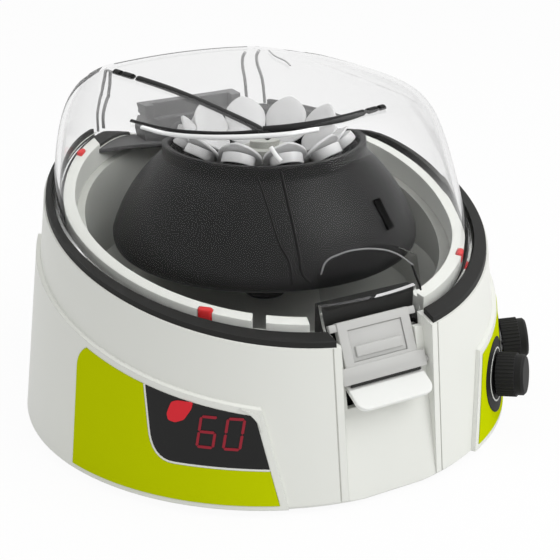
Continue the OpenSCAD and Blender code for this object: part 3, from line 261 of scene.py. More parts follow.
def plainFinish(name, colour, rough, tone, grain, depth, width=0.0005, edge=0.15,
                metal=0.0, shine=0.5, glow=0.0, soft=0.0, patch=14.0):
    # one moulded, painted or metal finish built on the shared groups
    material, tree, shader = newMaterial(name)
    link = tree.links.new
    texture = groupNode(tree, grainGroup, (-900, 100), Grain_Size=grain, Patch_Size=patch)
    edges = groupNode(tree, edgeGroup, (-900, -200), Width=width)
    body = addNode(tree, "ShaderNodeMix", (-600, 250), data_type="RGBA")
    body.inputs["A"].default_value = tinted(colour, 1 - tone)
    body.inputs["B"].default_value = tinted(colour, 1 + tone)
    # edges painted lighter, part wear and part painted highlight on the rounded edge
    edgeWearAndHighlight = addNode(tree, "ShaderNodeMix", (-350, 250), data_type="RGBA")
    lifted = tuple(c + plainLook["edgeLift"] for c in colour)
    edgeWearAndHighlight.inputs["B"].default_value = tinted(lifted, 1 + edge)
    share = addNode(tree, "ShaderNodeMath", (-600, -50), operation="MULTIPLY")
    share.inputs[1].default_value = plainLook["edgeShare"]
    roughness = addNode(tree, "ShaderNodeMapRange", (-350, 0))
    smoothest = max(plainLook["roughLeast"], rough - plainLook["roughSpread"])
    roughness.inputs["To Min"].default_value = smoothest
    roughness.inputs["To Max"].default_value = min(1.0, rough + plainLook["roughSpread"])
    bump = addNode(tree, "ShaderNodeBump", (-350, -250))
    bump.inputs["Strength"].default_value = depth
    bump.inputs["Distance"].default_value = plainLook["bumpHigh"]
    link(texture.outputs["Tone"], body.inputs["Factor"])
    link(body.outputs["Result"], edgeWearAndHighlight.inputs["A"])
    link(edges.outputs["Edge"], share.inputs[0])
    link(share.outputs["Value"], edgeWearAndHighlight.inputs["Factor"])
    link(edgeWearAndHighlight.outputs["Result"], shader.inputs["Base Color"])
    link(texture.outputs["Tone"], roughness.inputs["Value"])
    link(roughness.outputs["Result"], shader.inputs["Roughness"])
    link(texture.outputs["Height"], bump.inputs["Height"])
    link(edges.outputs["Normal"], bump.inputs["Normal"])
    link(bump.outputs["Normal"], shader.inputs["Normal"])
    shader.inputs["Metallic"].default_value = metal
    shader.inputs["Specular IOR Level"].default_value = shine
    if glow:
        link(edgeWearAndHighlight.outputs["Result"], shader.inputs["Emission Color"])
        shader.inputs["Emission Strength"].default_value = glow
    if soft:
        shader.inputs["Subsurface Weight"].default_value = soft
        shader.inputs["Subsurface Radius"].default_value = (plainLook["softRadius"],) * 3
        shader.inputs["Subsurface Scale"].default_value = 1.0
    return material


def clearFinish(name, face, rim, index):
    # clear moulding: greyer where it is seen edge on, and lamps shine through it
    material, tree, shader = newMaterial(name)
    link = tree.links.new
    texture = groupNode(tree, grainGroup, (-900, 100),
                        Grain_Size=clearLook["grain"], Patch_Size=clearLook["patch"])
    weight = addNode(tree, "ShaderNodeLayerWeight", (-900, 400))
    weight.inputs["Blend"].default_value = clearLook["rimBlend"]
    tint = addNode(tree, "ShaderNodeMix", (-500, 300), data_type="RGBA")
    tint.inputs["A"].default_value = opaque(face)
    tint.inputs["B"].default_value = opaque(rim)
    smear = addNode(tree, "ShaderNodeMapRange", (-500, 0))
    smear.inputs["To Min"].default_value = 0.0
    smear.inputs["To Max"].default_value = clearLook["smear"]
    link(weight.outputs["Facing"], tint.inputs["Factor"])
    link(tint.outputs["Result"], shader.inputs["Base Color"])
    link(texture.outputs["Tone"], smear.inputs["Value"])
    link(smear.outputs["Result"], shader.inputs["Roughness"])
    shader.inputs["Transmission Weight"].default_value = 1.0
    shader.inputs["IOR"].default_value = index
    path = addNode(tree, "ShaderNodeLightPath", (0, 500))
    through = addNode(tree, "ShaderNodeBsdfTransparent", (0, -300))
    through.inputs["Color"].default_value = opaque((clearLook["shadow"],) * 3)
    either = addNode(tree, "ShaderNodeMixShader", (350, 200))
    link(path.outputs["Is Shadow Ray"], either.inputs[0])
    link(shader.outputs["BSDF"], either.inputs[1])
    link(through.outputs["BSDF"], either.inputs[2])
    link(either.outputs["Shader"], tree.nodes["Material Output"].inputs["Surface"])
    return material


def paintedLightZone(material, axis, low, high, colour):
    # painted light and shade: the same moulding painted another tone past a plane across the
    # piece, metres
    tree = material.node_tree
    link = tree.links.new
    shader = tree.nodes["Principled BSDF"]
    before = shader.inputs["Base Color"].links[0].from_socket
    where = addNode(tree, "ShaderNodeTexCoord", (-900, 700))
    split = addNode(tree, "ShaderNodeSeparateXYZ", (-700, 700))
    mask = addNode(tree, "ShaderNodeMapRange", (-500, 700))
    mask.inputs["From Min"].default_value = low
    mask.inputs["From Max"].default_value = high
    mixed = addNode(tree, "ShaderNodeMix", (-150, 450), data_type="RGBA")
    mixed.inputs["B"].default_value = opaque(colour)
    link(where.outputs["Object"], split.inputs["Vector"])
    link(split.outputs[axis], mask.inputs["Value"])
    link(mask.outputs["Result"], mixed.inputs["Factor"])
    link(before, mixed.inputs["A"])
    link(mixed.outputs["Result"], shader.inputs["Base Color"])


# one finish for each slot of the record

finishes = {
    "white_shell": plainFinish(
        "whiteShell", (0.80, 0.81, 0.765), rough=0.45, tone=0.012, grain=700.0, depth=0.05,
        width=0.0006, edge=0.03, shine=0.35),
    "black_plastic": plainFinish(
        "blackPlastic", (0.017, 0.017, 0.016), rough=0.55, tone=0.12, grain=1100.0, depth=0.2,
        shine=0.2, edge=0.6),
    "charcoal_plastic": plainFinish(
        "charcoalPlastic", (0.009, 0.009, 0.009), rough=0.42, tone=0.04, grain=60.0, depth=0.01,
        width=0.00002, edge=0.1, shine=0.14),
    "black_rubber": plainFinish(
        "blackRubber", (0.012, 0.012, 0.012), rough=0.8, tone=0.15, grain=1500.0, depth=0.35,
        shine=0.2),
    "red_rubber": plainFinish(
        "redRubber", (0.60, 0.010, 0.012), rough=0.5, tone=0.06, grain=1200.0, depth=0.15),
    "clear_plastic": clearFinish(
        "clearPlastic", face=(1.0, 1.0, 1.0), rim=(0.45, 0.45, 0.45), index=1.12),
    "grey_metal": plainFinish(
        "greyMetal", (0.31, 0.315, 0.29), rough=0.5, tone=0.05, grain=1800.0, depth=0.15,
        shine=0.4),
    "motor_paint": plainFinish(
        "motorPaint", (0.12, 0.12, 0.13), rough=0.35, tone=0.06, grain=400.0, depth=0.1),
    "steel": plainFinish(
        "brightSteel", (0.55, 0.55, 0.56), rough=0.28, tone=0.08, grain=2500.0, depth=0.1,
        metal=1.0),
    "green_panel": plainFinish(
        "greenPanel", (0.54, 0.62, 0.0015), rough=0.55, tone=0.02, grain=1500.0, depth=0.04,
        width=0.0003, edge=0.03, shine=0.0),
    "dark_window": plainFinish(
        "darkWindow", (0.012, 0.012, 0.012), rough=0.2, tone=0.08, grain=300.0, depth=0.01,
        width=0.0003, edge=0.1, shine=0.2),
    "red_light": plainFinish(
        "redLight", (0.29, 0.022, 0.035), rough=0.5, tone=0.05, grain=900.0, depth=0.02,
        width=0.0001, edge=0.0, glow=0.1, shine=0.1),
    "circuit_board": plainFinish(
        "circuitBoard", (0.02, 0.2, 0.08), rough=0.4, tone=0.15, grain=700.0, depth=0.2,
        patch=90.0),
    "tube_plastic": plainFinish(
        "tubePlastic", (0.74, 0.74, 0.74), rough=0.35, tone=0.03, grain=600.0, depth=0.05,
        width=0.0004, edge=0.05, soft=0.3),
    "pin_brass": plainFinish(
        "pinBrass", (0.6, 0.5, 0.3), rough=0.3, tone=0.06, grain=2000.0, depth=0.05, metal=1.0),
    "lead_rubber": plainFinish(
        "leadRubber", (0.2, 0.1, 0.05), rough=0.6, tone=0.1, grain=1200.0, depth=0.2),
}

# finishes of single pieces that differ from their slot's

# painted reflection: the dark lines along the clear lid's folds
darkReflectionFinish = plainFinish(
    "paintedDarkReflection", (0.010, 0.010, 0.010), rough=0.5, tone=0.1, grain=900.0, depth=0.05,
    width=0.0002, edge=0.2, shine=0.15)
# painted highlight: the light lines along the lid's crown edge and front fold
paintedHighlightFinish = plainFinish(
    "paintedHighlightStrip", (0.84, 0.84, 0.84), rough=0.3, tone=0.02, grain=900.0, depth=0.02,
    width=0.0002, edge=0.02)
# painted reflection: the grey lines along the lid's back corners and back edge and the catch's
# arch
greyReflectionFinish = plainFinish(
    "paintedGreyReflection", (0.22, 0.22, 0.22), rough=0.4, tone=0.05, grain=900.0, depth=0.02,
    width=0.0002, edge=0.05)
# painted reflection: the faint pale line along the lid's right crease
paleReflectionFinish = plainFinish(
    "paintedPaleReflection", (0.45, 0.45, 0.45), rough=0.4, tone=0.05, grain=900.0, depth=0.02,
    width=0.0002, edge=0.05)
coverFinish = plainFinish(
    "coverPlastic", (0.085, 0.085, 0.085), rough=0.5, tone=0.06, grain=1100.0, depth=0.12,
    shine=0.3, edge=0.3)
ringFinish = plainFinish(
    "ringPlastic", (0.63, 0.64, 0.605), rough=0.45, tone=0.012, grain=700.0, depth=0.05,
    width=0.0006, edge=0.03, shine=0.35)
# painted shade: the lever's white plastic is painted grey, as it lies in shade under the lid
shadedLeverFinish = plainFinish(
    "leverPlasticPaintedShade", (0.52, 0.52, 0.505), rough=0.4, tone=0.02, grain=700.0, depth=0.05,
    width=0.0005, edge=0.05, shine=0.35, soft=0.2)
knobFinish = plainFinish(
    "knobPlastic", (0.013, 0.013, 0.013), rough=0.6, tone=0.12, grain=1100.0, depth=0.15,
    shine=0.16, edge=0.6)
capFinish = plainFinish(
    "capPlastic", (0.47, 0.47, 0.47), rough=0.35, tone=0.03, grain=600.0, depth=0.05,
    width=0.0004, edge=0.05, soft=0.2)
catchFinish = clearFinish(
    "catchPlastic", face=(0.78, 0.78, 0.78), rim=(0.4, 0.4, 0.4), index=1.03)
paintedLightBowlFinish = plainFinish(
    "bowlMetalPaintedLight", (0.33, 0.335, 0.31), rough=0.5, tone=0.05, grain=1800.0, depth=0.15, shine=0.4)
# painted shade: near-black, matt blocks standing in for the shade inside the rotor's slots
paintedSlotShadeFinish = plainFinish(
    "paintedSlotShade", (0.002, 0.002, 0.002), rough=0.9, tone=0.05, grain=900.0, depth=0.01,
    width=0.00002, edge=0.0, shine=0.0)
lampFinish = plainFinish(
    "lampRed", (0.58, 0.02, 0.03), rough=0.5, tone=0.05, grain=900.0, depth=0.02,
    width=0.0001, edge=0.0, glow=0.2, shine=0.15)

# painted shade: the tongue is painted darker than the press tab, which keeps the plastic's white
paintedLightZone(shadedLeverFinish, "Y", low=-0.0918, high=-0.0924, colour=(0.80, 0.81, 0.785))
# painted light: the bowl's coat is painted paler towards the display side, where light falls on
# its inside wall
paintedLightZone(paintedLightBowlFinish, "X", low=-0.005, high=-0.07, colour=(0.48, 0.49, 0.455))
for entry in frame["record"]["subparts"]:
    solid = nodes[entry["node"]]
    solid.data.materials.clear()
    solid.data.materials.append(finishes[entry["material_slot"]])
print("finishes on all solids")

# clear lid, a loft from the sloping rim to the crown, drum millimetres

lid = {"rim": 94.3, "crown": 58.0, "crownY": 5.3, "crownZ": 143.0, "rise": 4.0, "wall": 2.4,
       "back": 82.0, "gap": 0.4, "round": 0.52, "reach": 1.8, "shift": 5.3, "swell": 0.8,
       "sides": 144, "steps": 30, "crowding": 2.2, "topRings": 5, "floorTilt": -0.8,
       "catchHalf": 23.0, "catchLow": 79.7, "cutter": 80.0, "smooth": 30}
rimPlane = {"z": 92.4, "slope": tan(radians(14.2))}


def rimAt(y):
    return rimPlane["z"] + y * rimPlane["slope"]


def crownAt(x):
    return lid["crownZ"] + lid["rise"] * max(0.0, 1 - (x / lid["crown"]) ** 2)


def lidPoint(climb, turn):
    # climb runs from 0 at the rim to 1 at the crown, turn in radians from the front
    a = pi / 2 * climb
    c = max(cos(a), 0.0) ** lid["round"]
    s = sin(a) ** lid["reach"]
    r = lid["crown"] + (lid["rim"] - lid["crown"]) * c
    x = r * sin(turn)
    y = lid["crownY"] * (1 - c ** lid["shift"]) - r * cos(turn)
    top = crownAt(x)
    z = (rimAt(y) + lid["gap"]) * (1 - s) + top * s + y * lid["swell"] * s * (1 - s)
    return x, y, min(z, top)


def makeLid():
    clearSelection()
    radius, stepUp = 0.1, 0.001
    bpy.ops.mesh.primitive_circle_add(vertices=lid["sides"], radius=radius, fill_type="NGON")
    piece = started("lid_shell")
    bpy.ops.object.mode_set(mode="EDIT")
    for step in range(lid["steps"]):
        bpy.ops.mesh.extrude_region_move(TRANSFORM_OT_translate={"value": (0, 0, stepUp)})
    for ring in range(lid["topRings"]):
        bpy.ops.mesh.inset(thickness=radius / (lid["topRings"] + 1), depth=0.0)
    bpy.ops.mesh.poke()
    editDone()
    for vertex in piece.data.vertices:
        step = round(vertex.co.z / stepUp)
        turn = atan2(vertex.co.x, -vertex.co.y)
        reach = Vector(vertex.co.xy).length / radius
        if step < lid["steps"]:
            climb = 1 - (1 - step / lid["steps"]) ** lid["crowding"]
            vertex.co = atDrum(*lidPoint(climb, turn))
        else:
            x = reach * lid["crown"] * sin(turn)
            y = lid["crownY"] - reach * lid["crown"] * cos(turn)
            vertex.co = atDrum(x, y, crownAt(x))
    # flat back, filled, then the floor taken out again
    editAll()
    bpy.ops.mesh.bisect(plane_co=atDrum(0, lid["back"], 0), plane_no=(0, 1, 0),
                        use_fill=True, clear_outer=True)
    bpy.ops.mesh.select_all(action="DESELECT")
    editDone()
    for face in piece.data.polygons:
        face.select = face.normal.z < lid["floorTilt"]
    bpy.ops.object.mode_set(mode="EDIT")
    bpy.ops.mesh.delete(type="ONLY_FACE")
    editDone()
    outward(piece)
    thickened(piece, lid["wall"], use_even_offset=True)
    # opening over the lever
    edge, half = lid["cutter"] * mm, lid["cutter"] / 2
    cutter = box("lid_cutter", (2 * lid["catchHalf"] * mm, edge, edge),
                 atDrum(0, -lid["crown"] - half, lid["catchLow"] - half))
    merged(piece, cutter, "DIFFERENCE")
    smoothed(piece, lid["smooth"])
    return wear(piece, "lid", finishes["clear_plastic"])


lidShell = makeLid()
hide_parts("lid_dome")
print("lid shell", len(lidShell.data.polygons), "faces")

# painted reflections and highlights: dark, grey and light lines along the folds of the lid, drum
# millimetres

backTop = {"in": 0.8, "under": 0.3, "places": range(-36, 37, 9)}
paintedLidLines = {
    "left_crease": {"wide": 3.8, "finish": darkReflectionFinish, "runs": [
        [(-38.1, 51.6, 145.3), (-36.2, 39.8, 145.5), (-34.3, 25.8, 145.7), (-33.1, 13.9, 145.8),
         (-32.1, 1.6, 145.8), (-31.5, -11.2, 145.8), (-31.1, -23.0, 145.8), (-30.8, -34.5, 145.8),
         (-30.6, -46.7, 145.6), (-30.4, -57.2, 144.7)],
        [(-41.4, 70.1, 144.9), (-40.6, 65.4, 145.0)],
        [(-40.2, 62.9, 145.1), (-38.9, 56.0, 145.2)]]},
    "crown_arc": {"wide": 3.5, "finish": darkReflectionFinish, "runs": [
        [(18.6, -52.4, 146.2), (9.5, -55.1, 146.4), (-2.0, -57.6, 146.7), (-12.6, -58.6, 146.9),
         (-22.0, -57.6, 146.8), (-30.6, -53.4, 146.2)],
        [(31.5, -48.6, 145.8), (28.6, -49.5, 145.9)],
        [(26.6, -50.1, 146.0), (21.4, -51.6, 146.1)]]},
    "side_arc": {"wide": 1.9, "finish": darkReflectionFinish, "runs": [
        [(-32.6, -52.8, 145.4), (-42.1, -46.6, 144.5), (-51.6, -36.3, 143.6),
         (-58.3, -25.4, 142.9), (-63.4, -13.1, 142.7), (-66.2, -4.1, 142.6)]]},
    "crown_glint": {"wide": 2.2, "finish": paintedHighlightFinish, "runs": [
        [(-9.4, -61.0, 144.9), (-22.6, -60.4, 145.0), (-34.4, -55.8, 144.6),
         (-43.6, -49.4, 143.9), (-52.8, -39.6, 142.9), (-60.3, -27.6, 142.0),
         (-65.4, -12.6, 141.6)]]},
    "front_fold_left": {"wide": 0.9, "finish": darkReflectionFinish, "runs": [
        [(-39.5, -64.1, 131.1), (-38.8, -66.8, 126.0), (-37.5, -70.8, 116.6),
         (-35.5, -75.2, 105.0), (-33.0, -78.1, 98.3), (-32.7, -80.7, 89.3)]]},
    "front_fold_right": {"wide": 1.3, "finish": darkReflectionFinish, "runs": [
        [(-30.8, -67.9, 132.4), (-30.6, -71.4, 123.9), (-29.7, -75.4, 112.4),
         (-28.9, -78.9, 100.7), (-28.4, -81.2, 92.9), (-25.7, -82.9, 89.5)]]},
    "front_edge_right": {"wide": 0.9, "finish": darkReflectionFinish, "runs": [
        [(22.5, -84.2, 87.9), (24.3, -85.7, 81.3), (25.8, -86.8, 76.9)]]},
    "fold_glint": {"wide": 1.8, "finish": paintedHighlightFinish, "runs": [
        [(-31.8, -61.7, 141.2), (-31.0, -64.4, 138.5), (-29.8, -66.3, 136.4)]]},
    "right_crease": {"wide": 0.9, "finish": paleReflectionFinish, "runs": [
        [(42.2, 69.6, 144.9), (38.0, 55.7, 145.3), (37.2, 45.5, 145.4), (34.1, 35.3, 145.6)]]},
    "back_corner_left": {"wide": 1.6, "finish": greyReflectionFinish, "runs": [
        [(-42.2, 69.6, 144.6), (-41.6, 79.0, 142.0), (-41.4, 81.4, 138.6), (-45.0, 81.4, 126.0),
         (-46.4, 81.4, 114.4)],
        [(-38.6, 80.9, 141.0), (-39.4, 81.6, 132.0), (-42.0, 81.6, 124.0),
         (-43.0, 81.6, 116.0)]]},
    "back_top": {"wide": 0.9, "finish": greyReflectionFinish, "runs": [
        [(x, lid["back"] - backTop["in"], crownAt(x) - backTop["under"])
         for x in backTop["places"]]]},
    "back_corner_right": {"wide": 1.6, "finish": greyReflectionFinish, "runs": [
        [(41.6, 79.0, 142.0), (41.4, 81.4, 138.6), (45.0, 81.4, 126.0), (46.4, 81.4, 114.4)]]},
    "back_fold_right": {"wide": 1.6, "finish": greyReflectionFinish, "runs": [
        [(33.6, 79.0, 142.0), (33.4, 81.4, 138.6), (35.0, 81.4, 126.0), (36.0, 81.4, 114.4)]]},
    "catch_arch": {"wide": 0.7, "finish": greyReflectionFinish, "runs": [
        [(-21.3, -83.3, 92.2), (-18.6, -82.6, 97.0), (-12.3, -83.1, 99.3), (-5.5, -83.6, 99.9),
         (4.9, -84.0, 98.4), (13.8, -84.0, 94.9), (23.1, -84.1, 87.8)]]},
}
# the lines sink towards the core of the lid, all but the part that stands proud
lineShape = {"core": Vector((0, 0, 100)), "proud": 0.35, "roundness": 3, "steps": 6, "smooth": 50}


def makePaintedLine(name, line):
    # rounded strip sunk in the lid's wall, so only its outer side stands proud; its colour is a
    # painted reflection, dark on some lines and light on others
    clearSelection()
    curve = bpy.data.curves.new(name, "CURVE")
    curve.dimensions = "3D"
    curve.bevel_depth = line["wide"] / 2 * mm
    curve.bevel_resolution = lineShape["roundness"]
    curve.resolution_u = lineShape["steps"]
    curve.use_fill_caps = True
    for run in line["runs"]:
        spline = curve.splines.new("BEZIER")
        spline.bezier_points.add(len(run) - 1)
        for knot, place in zip(spline.bezier_points, run):
            outwards = (Vector(place) - lineShape["core"]).normalized()
            sunk = outwards * (line["wide"] / 2 - lineShape["proud"])
            knot.co = atDrum(*(Vector(place) - sunk))
            knot.handle_left_type = knot.handle_right_type = "AUTO"
    piece = bpy.data.objects.new(name, curve)
    bpy.context.scene.collection.objects.link(piece)
    chosen(piece)
    bpy.ops.object.convert(target="MESH")
    piece = smoothed(outward(started(name)), lineShape["smooth"])
    return wear(piece, "lid", line["finish"])


for lineName, line in paintedLidLines.items():
    makePaintedLine("lid_" + lineName, line)
print("lid lines", len(paintedLidLines))

# rotor bell, turned from one profile and bored for the tubes

rotor = {
    "top": 125.0, "collar": 45.6, "lip": 1.6, "collarLow": 118.5, "neck": 1.2,
    "bulge": (63.0, 103.5), "shoulder": (69.0, 84.0), "neckSteps": 4, "neckShare": 20,
    "steps": 18, "sides": 120, "smooth": 28,
    # radius and depth under the top, from the boss under the nut out to the lip
    "dish": [(0.0, 9.5), (13.2, 9.5), (14.0, 10.1), (14.0, 13.5), (40.0, 13.5), (41.2, 12.9),
             (42.4, 0.8), (42.9, 0.1), (44.9, 0.0), (45.5, 0.6)],
    # radius and height round the lower edge and back under the bell
    "foot": [(69.0, 81.5), (68.6, 79.6), (67.9, 78.4), (67.0, 77.7), (66.0, 77.5), (65.0, 78.2),
             (63.2, 83.5), (0.0, 83.5)],
    "tubes": 10, "turn": radians(-13), "lean": 33.0, "inset": 11.2, "rise": 6.1,
    "sleeve": 6.3, "sleeveRun": (1.6, 18.0), "bore": 5.4, "boreRun": (-1.0, 39.2)}


def lathe(name, profile, sides):
    # one vertex is drawn out along the profile, then spun round the drum's axis
    clearSelection()
    bpy.ops.mesh.primitive_plane_add(size=mm, location=(0, 0, 0))
    piece = started(name)
    editAll()
    bpy.ops.mesh.merge(type="CENTER")
    last = atDrum(profile[0][0], 0, profile[0][1])
    bpy.ops.transform.translate(value=last)
    for r, z in profile[1:]:
        place = atDrum(r, 0, z)
        bpy.ops.mesh.extrude_region_move(TRANSFORM_OT_translate={"value": place - last})
        last = place
    bpy.ops.mesh.select_all(action="SELECT")
    bpy.ops.mesh.spin(steps=sides, angle=2 * pi, center=atDrum(0, 0, 0), axis=(0, 0, 1))
    editDone()
    return outward(piece)


def arcPoints(start, corner, end, steps):
    # points of a curve from start to end that heads for the corner
    points = []
    for step in range(steps + 1):
        t = step / steps
        points.append(tuple((1 - t) ** 2 * a + 2 * t * (1 - t) * b + t * t * c
                            for a, b, c in zip(start, corner, end)))
    return points


def tubeFrame(turn):
    # Z runs from a tube's collar down to its tip, Y outward
    return (Matrix.Translation(atDrum(0, 0, 0)) @ Matrix.Rotation(turn, 4, "Z")
            @ Matrix.Translation(Vector((0, -rotor["collar"], rotor["top"])) * mm)
            @ Matrix.Rotation(radians(180 - rotor["lean"]), 4, "X")
            @ Matrix.Translation(Vector((0, -rotor["inset"], -rotor["rise"])) * mm))


def tubeTurns():
    return [2 * pi * k / rotor["tubes"] + rotor["turn"] for k in range(rotor["tubes"])]


def tubeRods(name, radius, run):
    # one rod at each tube, all in one mesh
    low, high = run
    rods = []
    for turn in tubeTurns():
        clearSelection()
        bpy.ops.mesh.primitive_cylinder_add(
            vertices=meshing["roundSides"], radius=radius * mm, depth=(high - low) * mm,
            location=(0, 0, (low + high) / 2 * mm))
        rod = settle(started(name))
        rod.data.transform(tubeFrame(turn))
        rods.append(rod)
    return joined(rods, name)


def makeRotor():
    collar = rotor["collar"]
    neck = (collar, rotor["collarLow"])
    profile = [(r, rotor["top"] - depth) for r, depth in rotor["dish"]]
    profile.append((collar, rotor["top"] - rotor["lip"]))
    first = arcPoints(neck, rotor["bulge"], rotor["shoulder"], rotor["neckShare"])[1]
    profile += arcPoints((collar, rotor["collarLow"] + rotor["neck"]), neck, first,
                         rotor["neckSteps"])
    profile += arcPoints(neck, rotor["bulge"], rotor["shoulder"], rotor["steps"])[2:]
    profile += rotor["foot"]
    piece = lathe("rotor_bell", profile, rotor["sides"])
    sleeves = tubeRods("rotor_sleeves", rotor["sleeve"], rotor["sleeveRun"])
    merged(piece, sleeves, "UNION")
    bores = tubeRods("rotor_bores", rotor["bore"], rotor["boreRun"])
    merged(piece, bores, "DIFFERENCE")
    smoothed(piece, rotor["smooth"])
    return wear(piece, "rotor", finishes["charcoal_plastic"])


rotorBell = makeRotor()
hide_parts("rotor_cone")
print("rotor bell", len(rotorBell.data.polygons), "faces")

# two balance slots down the bell, opposite each other, as dark blocks in its surface painted
# black for the shade inside the slots

slotCut = {"turn": radians(26.2), "from": (57.4, 106.4), "to": (65.1, 94.4), "wide": 4.6,
           "deep": 2.2, "proud": 0.1, "edge": 0.5}


def makeSlots():
    low, high = Vector(slotCut["to"]), Vector(slotCut["from"])
    size = (slotCut["wide"] * mm, slotCut["deep"] * mm, (high - low).length * mm)
    lean = atan2(low.x - high.x, high.y - low.y)
    middle = (low + high) / 2
    slots = []
    for side in (0.0, pi):
        slot = softened(box("rotor_slots", size), slotCut["edge"], segments=3)
        slot.data.transform(
            Matrix.Translation(atDrum(0, 0, 0)) @ Matrix.Rotation(slotCut["turn"] + side, 4, "Z")
            @ Matrix.Translation(Vector((0, -middle.x - slotCut["proud"], middle.y)) * mm)
            @ Matrix.Rotation(-lean, 4, "X"))
        slots.append(slot)
    piece = smoothed(joined(slots, "rotor_slots"))
    return wear(piece, "rotor", paintedSlotShadeFinish)


rotorSlots = makeSlots()
print("rotor slots", len(rotorSlots.data.polygons), "faces")

# leaf-shaped caps on the tubes, one modelled and copied round

cap = {"wide": 19.0, "long": 24.0, "middle": -3.2, "thick": 1.3, "collar": 1.5,
       "point": 0.26, "heel": 0.2, "swell": 0.24, "dome": 0.5, "domeRings": 3, "domeShare": 0.78,
       "flare": 0.9, "flareLong": 10.0, "tilt": 18.0, "edge": 0.35, "edgeAngle": 40,
       "skirt": 7.2, "skirtHigh": 4.6, "skirtWall": 0.7, "skirtEdge": 0.2, "smooth": 30}


def makeLeaf():
    clearSelection()
    bpy.ops.mesh.primitive_circle_add(vertices=meshing["roundSides"], radius=1.0,
                                      fill_type="NGON")
    leaf = started("cap_leaf")
    leaf.scale = (cap["wide"] / 2 * mm, cap["long"] / 2 * mm, 1.0)
    leaf.location = (0, cap["middle"] * mm, -cap["collar"] * mm)
    settle(leaf)
    # broad towards the outer end, which comes to a blunt point
    for vertex in leaf.data.vertices:
        along = (vertex.co.y / mm - cap["middle"]) / (cap["long"] / 2)
        taper = cap["point"] if along > 0 else cap["heel"]
        vertex.co.x *= max(0.0, 1.0 - along * along) ** taper
        vertex.co.x *= 1.0 + cap["swell"] * along
    editAll()
    rise = {"value": (0, 0, -cap["thick"] * mm)}
    bpy.ops.mesh.extrude_region_move(TRANSFORM_OT_translate=rise)
    for step in range(cap["domeRings"]):
        bpy.ops.mesh.extrude_region_move()
        bpy.ops.transform.resize(value=(cap["domeShare"], cap["domeShare"], 1.0),
                                 center_override=(0, cap["middle"] * mm, 0))
        bpy.ops.transform.translate(value=(0, 0, -cap["dome"] / (step + 1) * mm))
    editDone()
    # the outer end turns up a little
    for vertex in leaf.data.vertices:
        out = max(0.0, vertex.co.y / mm) / cap["flareLong"]
        vertex.co.z -= cap["flare"] * mm * out * out
    leaf.data.transform(Matrix.Translation((0, 0, -cap["collar"] * mm))
                        @ Matrix.Rotation(radians(-cap["tilt"]), 4, "X")
                        @ Matrix.Translation((0, 0, cap["collar"] * mm)))
    return softened(outward(leaf), cap["edge"], segments=2, angle=cap["edgeAngle"])


def makeSkirt():
    # round the tube's collar
    clearSelection()
    bpy.ops.mesh.primitive_cylinder_add(
        vertices=meshing["roundSides"], radius=cap["skirt"] * mm, depth=cap["skirtHigh"] * mm,
        end_fill_type="NOTHING")
    skirt = started("cap_skirt")
    skirt.location = (0, 0, (cap["skirtHigh"] / 2 - cap["collar"]) * mm)
    thickened(settle(skirt), cap["skirtWall"])
    return softened(skirt, cap["skirtEdge"], segments=2, angle=cap["edgeAngle"])


def makeCaps():
    leaf = makeLeaf()
    pattern = joined([leaf, makeSkirt()], "cap_leaf")
    caps = []
    for turn in tubeTurns():
        copy = pattern.copy()
        copy.data = pattern.data.copy()
        bpy.context.scene.collection.objects.link(copy)
        copy.data.transform(tubeFrame(turn))
        caps.append(copy)
    bpy.data.objects.remove(pattern)
    piece = smoothed(outward(joined(caps, "cap_leaves")), cap["smooth"])
    return wear(piece, "rotor", capFinish)


capLeaves = makeCaps()
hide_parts("tube_caps")
print("caps", len(capLeaves.data.polygons), "faces")

# plate of the latch lever: a shallow tray with a ledge across its lower half

plate = {"pivot": (0, -97.8, 51.0), "lean": 26.0, "wide": 26.0, "high": 13.0, "thick": 0.8,
         "front": -1.45, "low": 6.0, "rim": 1.2, "step": 0.3, "sunk": 0.5, "edge": 0.15,
         "ledgeHigh": 4.4, "ledgeOut": 0.55, "ledgeBack": 0.7, "ledgeShort": 3.4,
         "ledgeMiddle": 3.9, "ledgeEdge": 0.4, "edgeAngle": 50, "frontTilt": -0.9}


def leverFrame():
    # from the lever's own axes to the frame
    return (Matrix.Translation(atDrum(*plate["pivot"]))
            @ Matrix.Rotation(radians(-plate["lean"]), 4, "X"))


def makeLatchPlate():
    middle = (0, plate["front"] + plate["thick"] / 2, plate["low"] + plate["high"] / 2)
    tray = box("latch_tray", (plate["wide"] * mm, plate["thick"] * mm, plate["high"] * mm),
               Vector(middle) * mm)
    for face in tray.data.polygons:
        face.select = face.normal.y < plate["frontTilt"]
    bpy.ops.object.mode_set(mode="EDIT")
    bpy.ops.mesh.select_mode(type="FACE")
    bpy.ops.mesh.inset(thickness=plate["rim"] * mm, depth=0.0)
    bpy.ops.mesh.inset(thickness=plate["step"] * mm, depth=0.0)
    bpy.ops.transform.translate(value=(0, plate["sunk"] * mm, 0))
    editDone()
    deep = plate["ledgeOut"] + plate["ledgeBack"]
    middle = (0, plate["front"] + plate["ledgeBack"] - deep / 2,
              plate["low"] + plate["ledgeMiddle"])
    ledgeWide = plate["wide"] - plate["ledgeShort"]
    ledge = box("latch_ledge", (ledgeWide * mm, deep * mm, plate["ledgeHigh"] * mm),
                Vector(middle) * mm)
    softened(ledge, plate["ledgeEdge"], segments=3)
    tray = joined([tray, ledge], "latch_tray")
    softened(tray, plate["edge"], segments=2, angle=plate["edgeAngle"])
    tray.data.transform(leverFrame())
    return wear(smoothed(tray), "latch", shadedLeverFinish)


# press lever round that plate: tongue, ears, band over the axle and a round-cornered tab

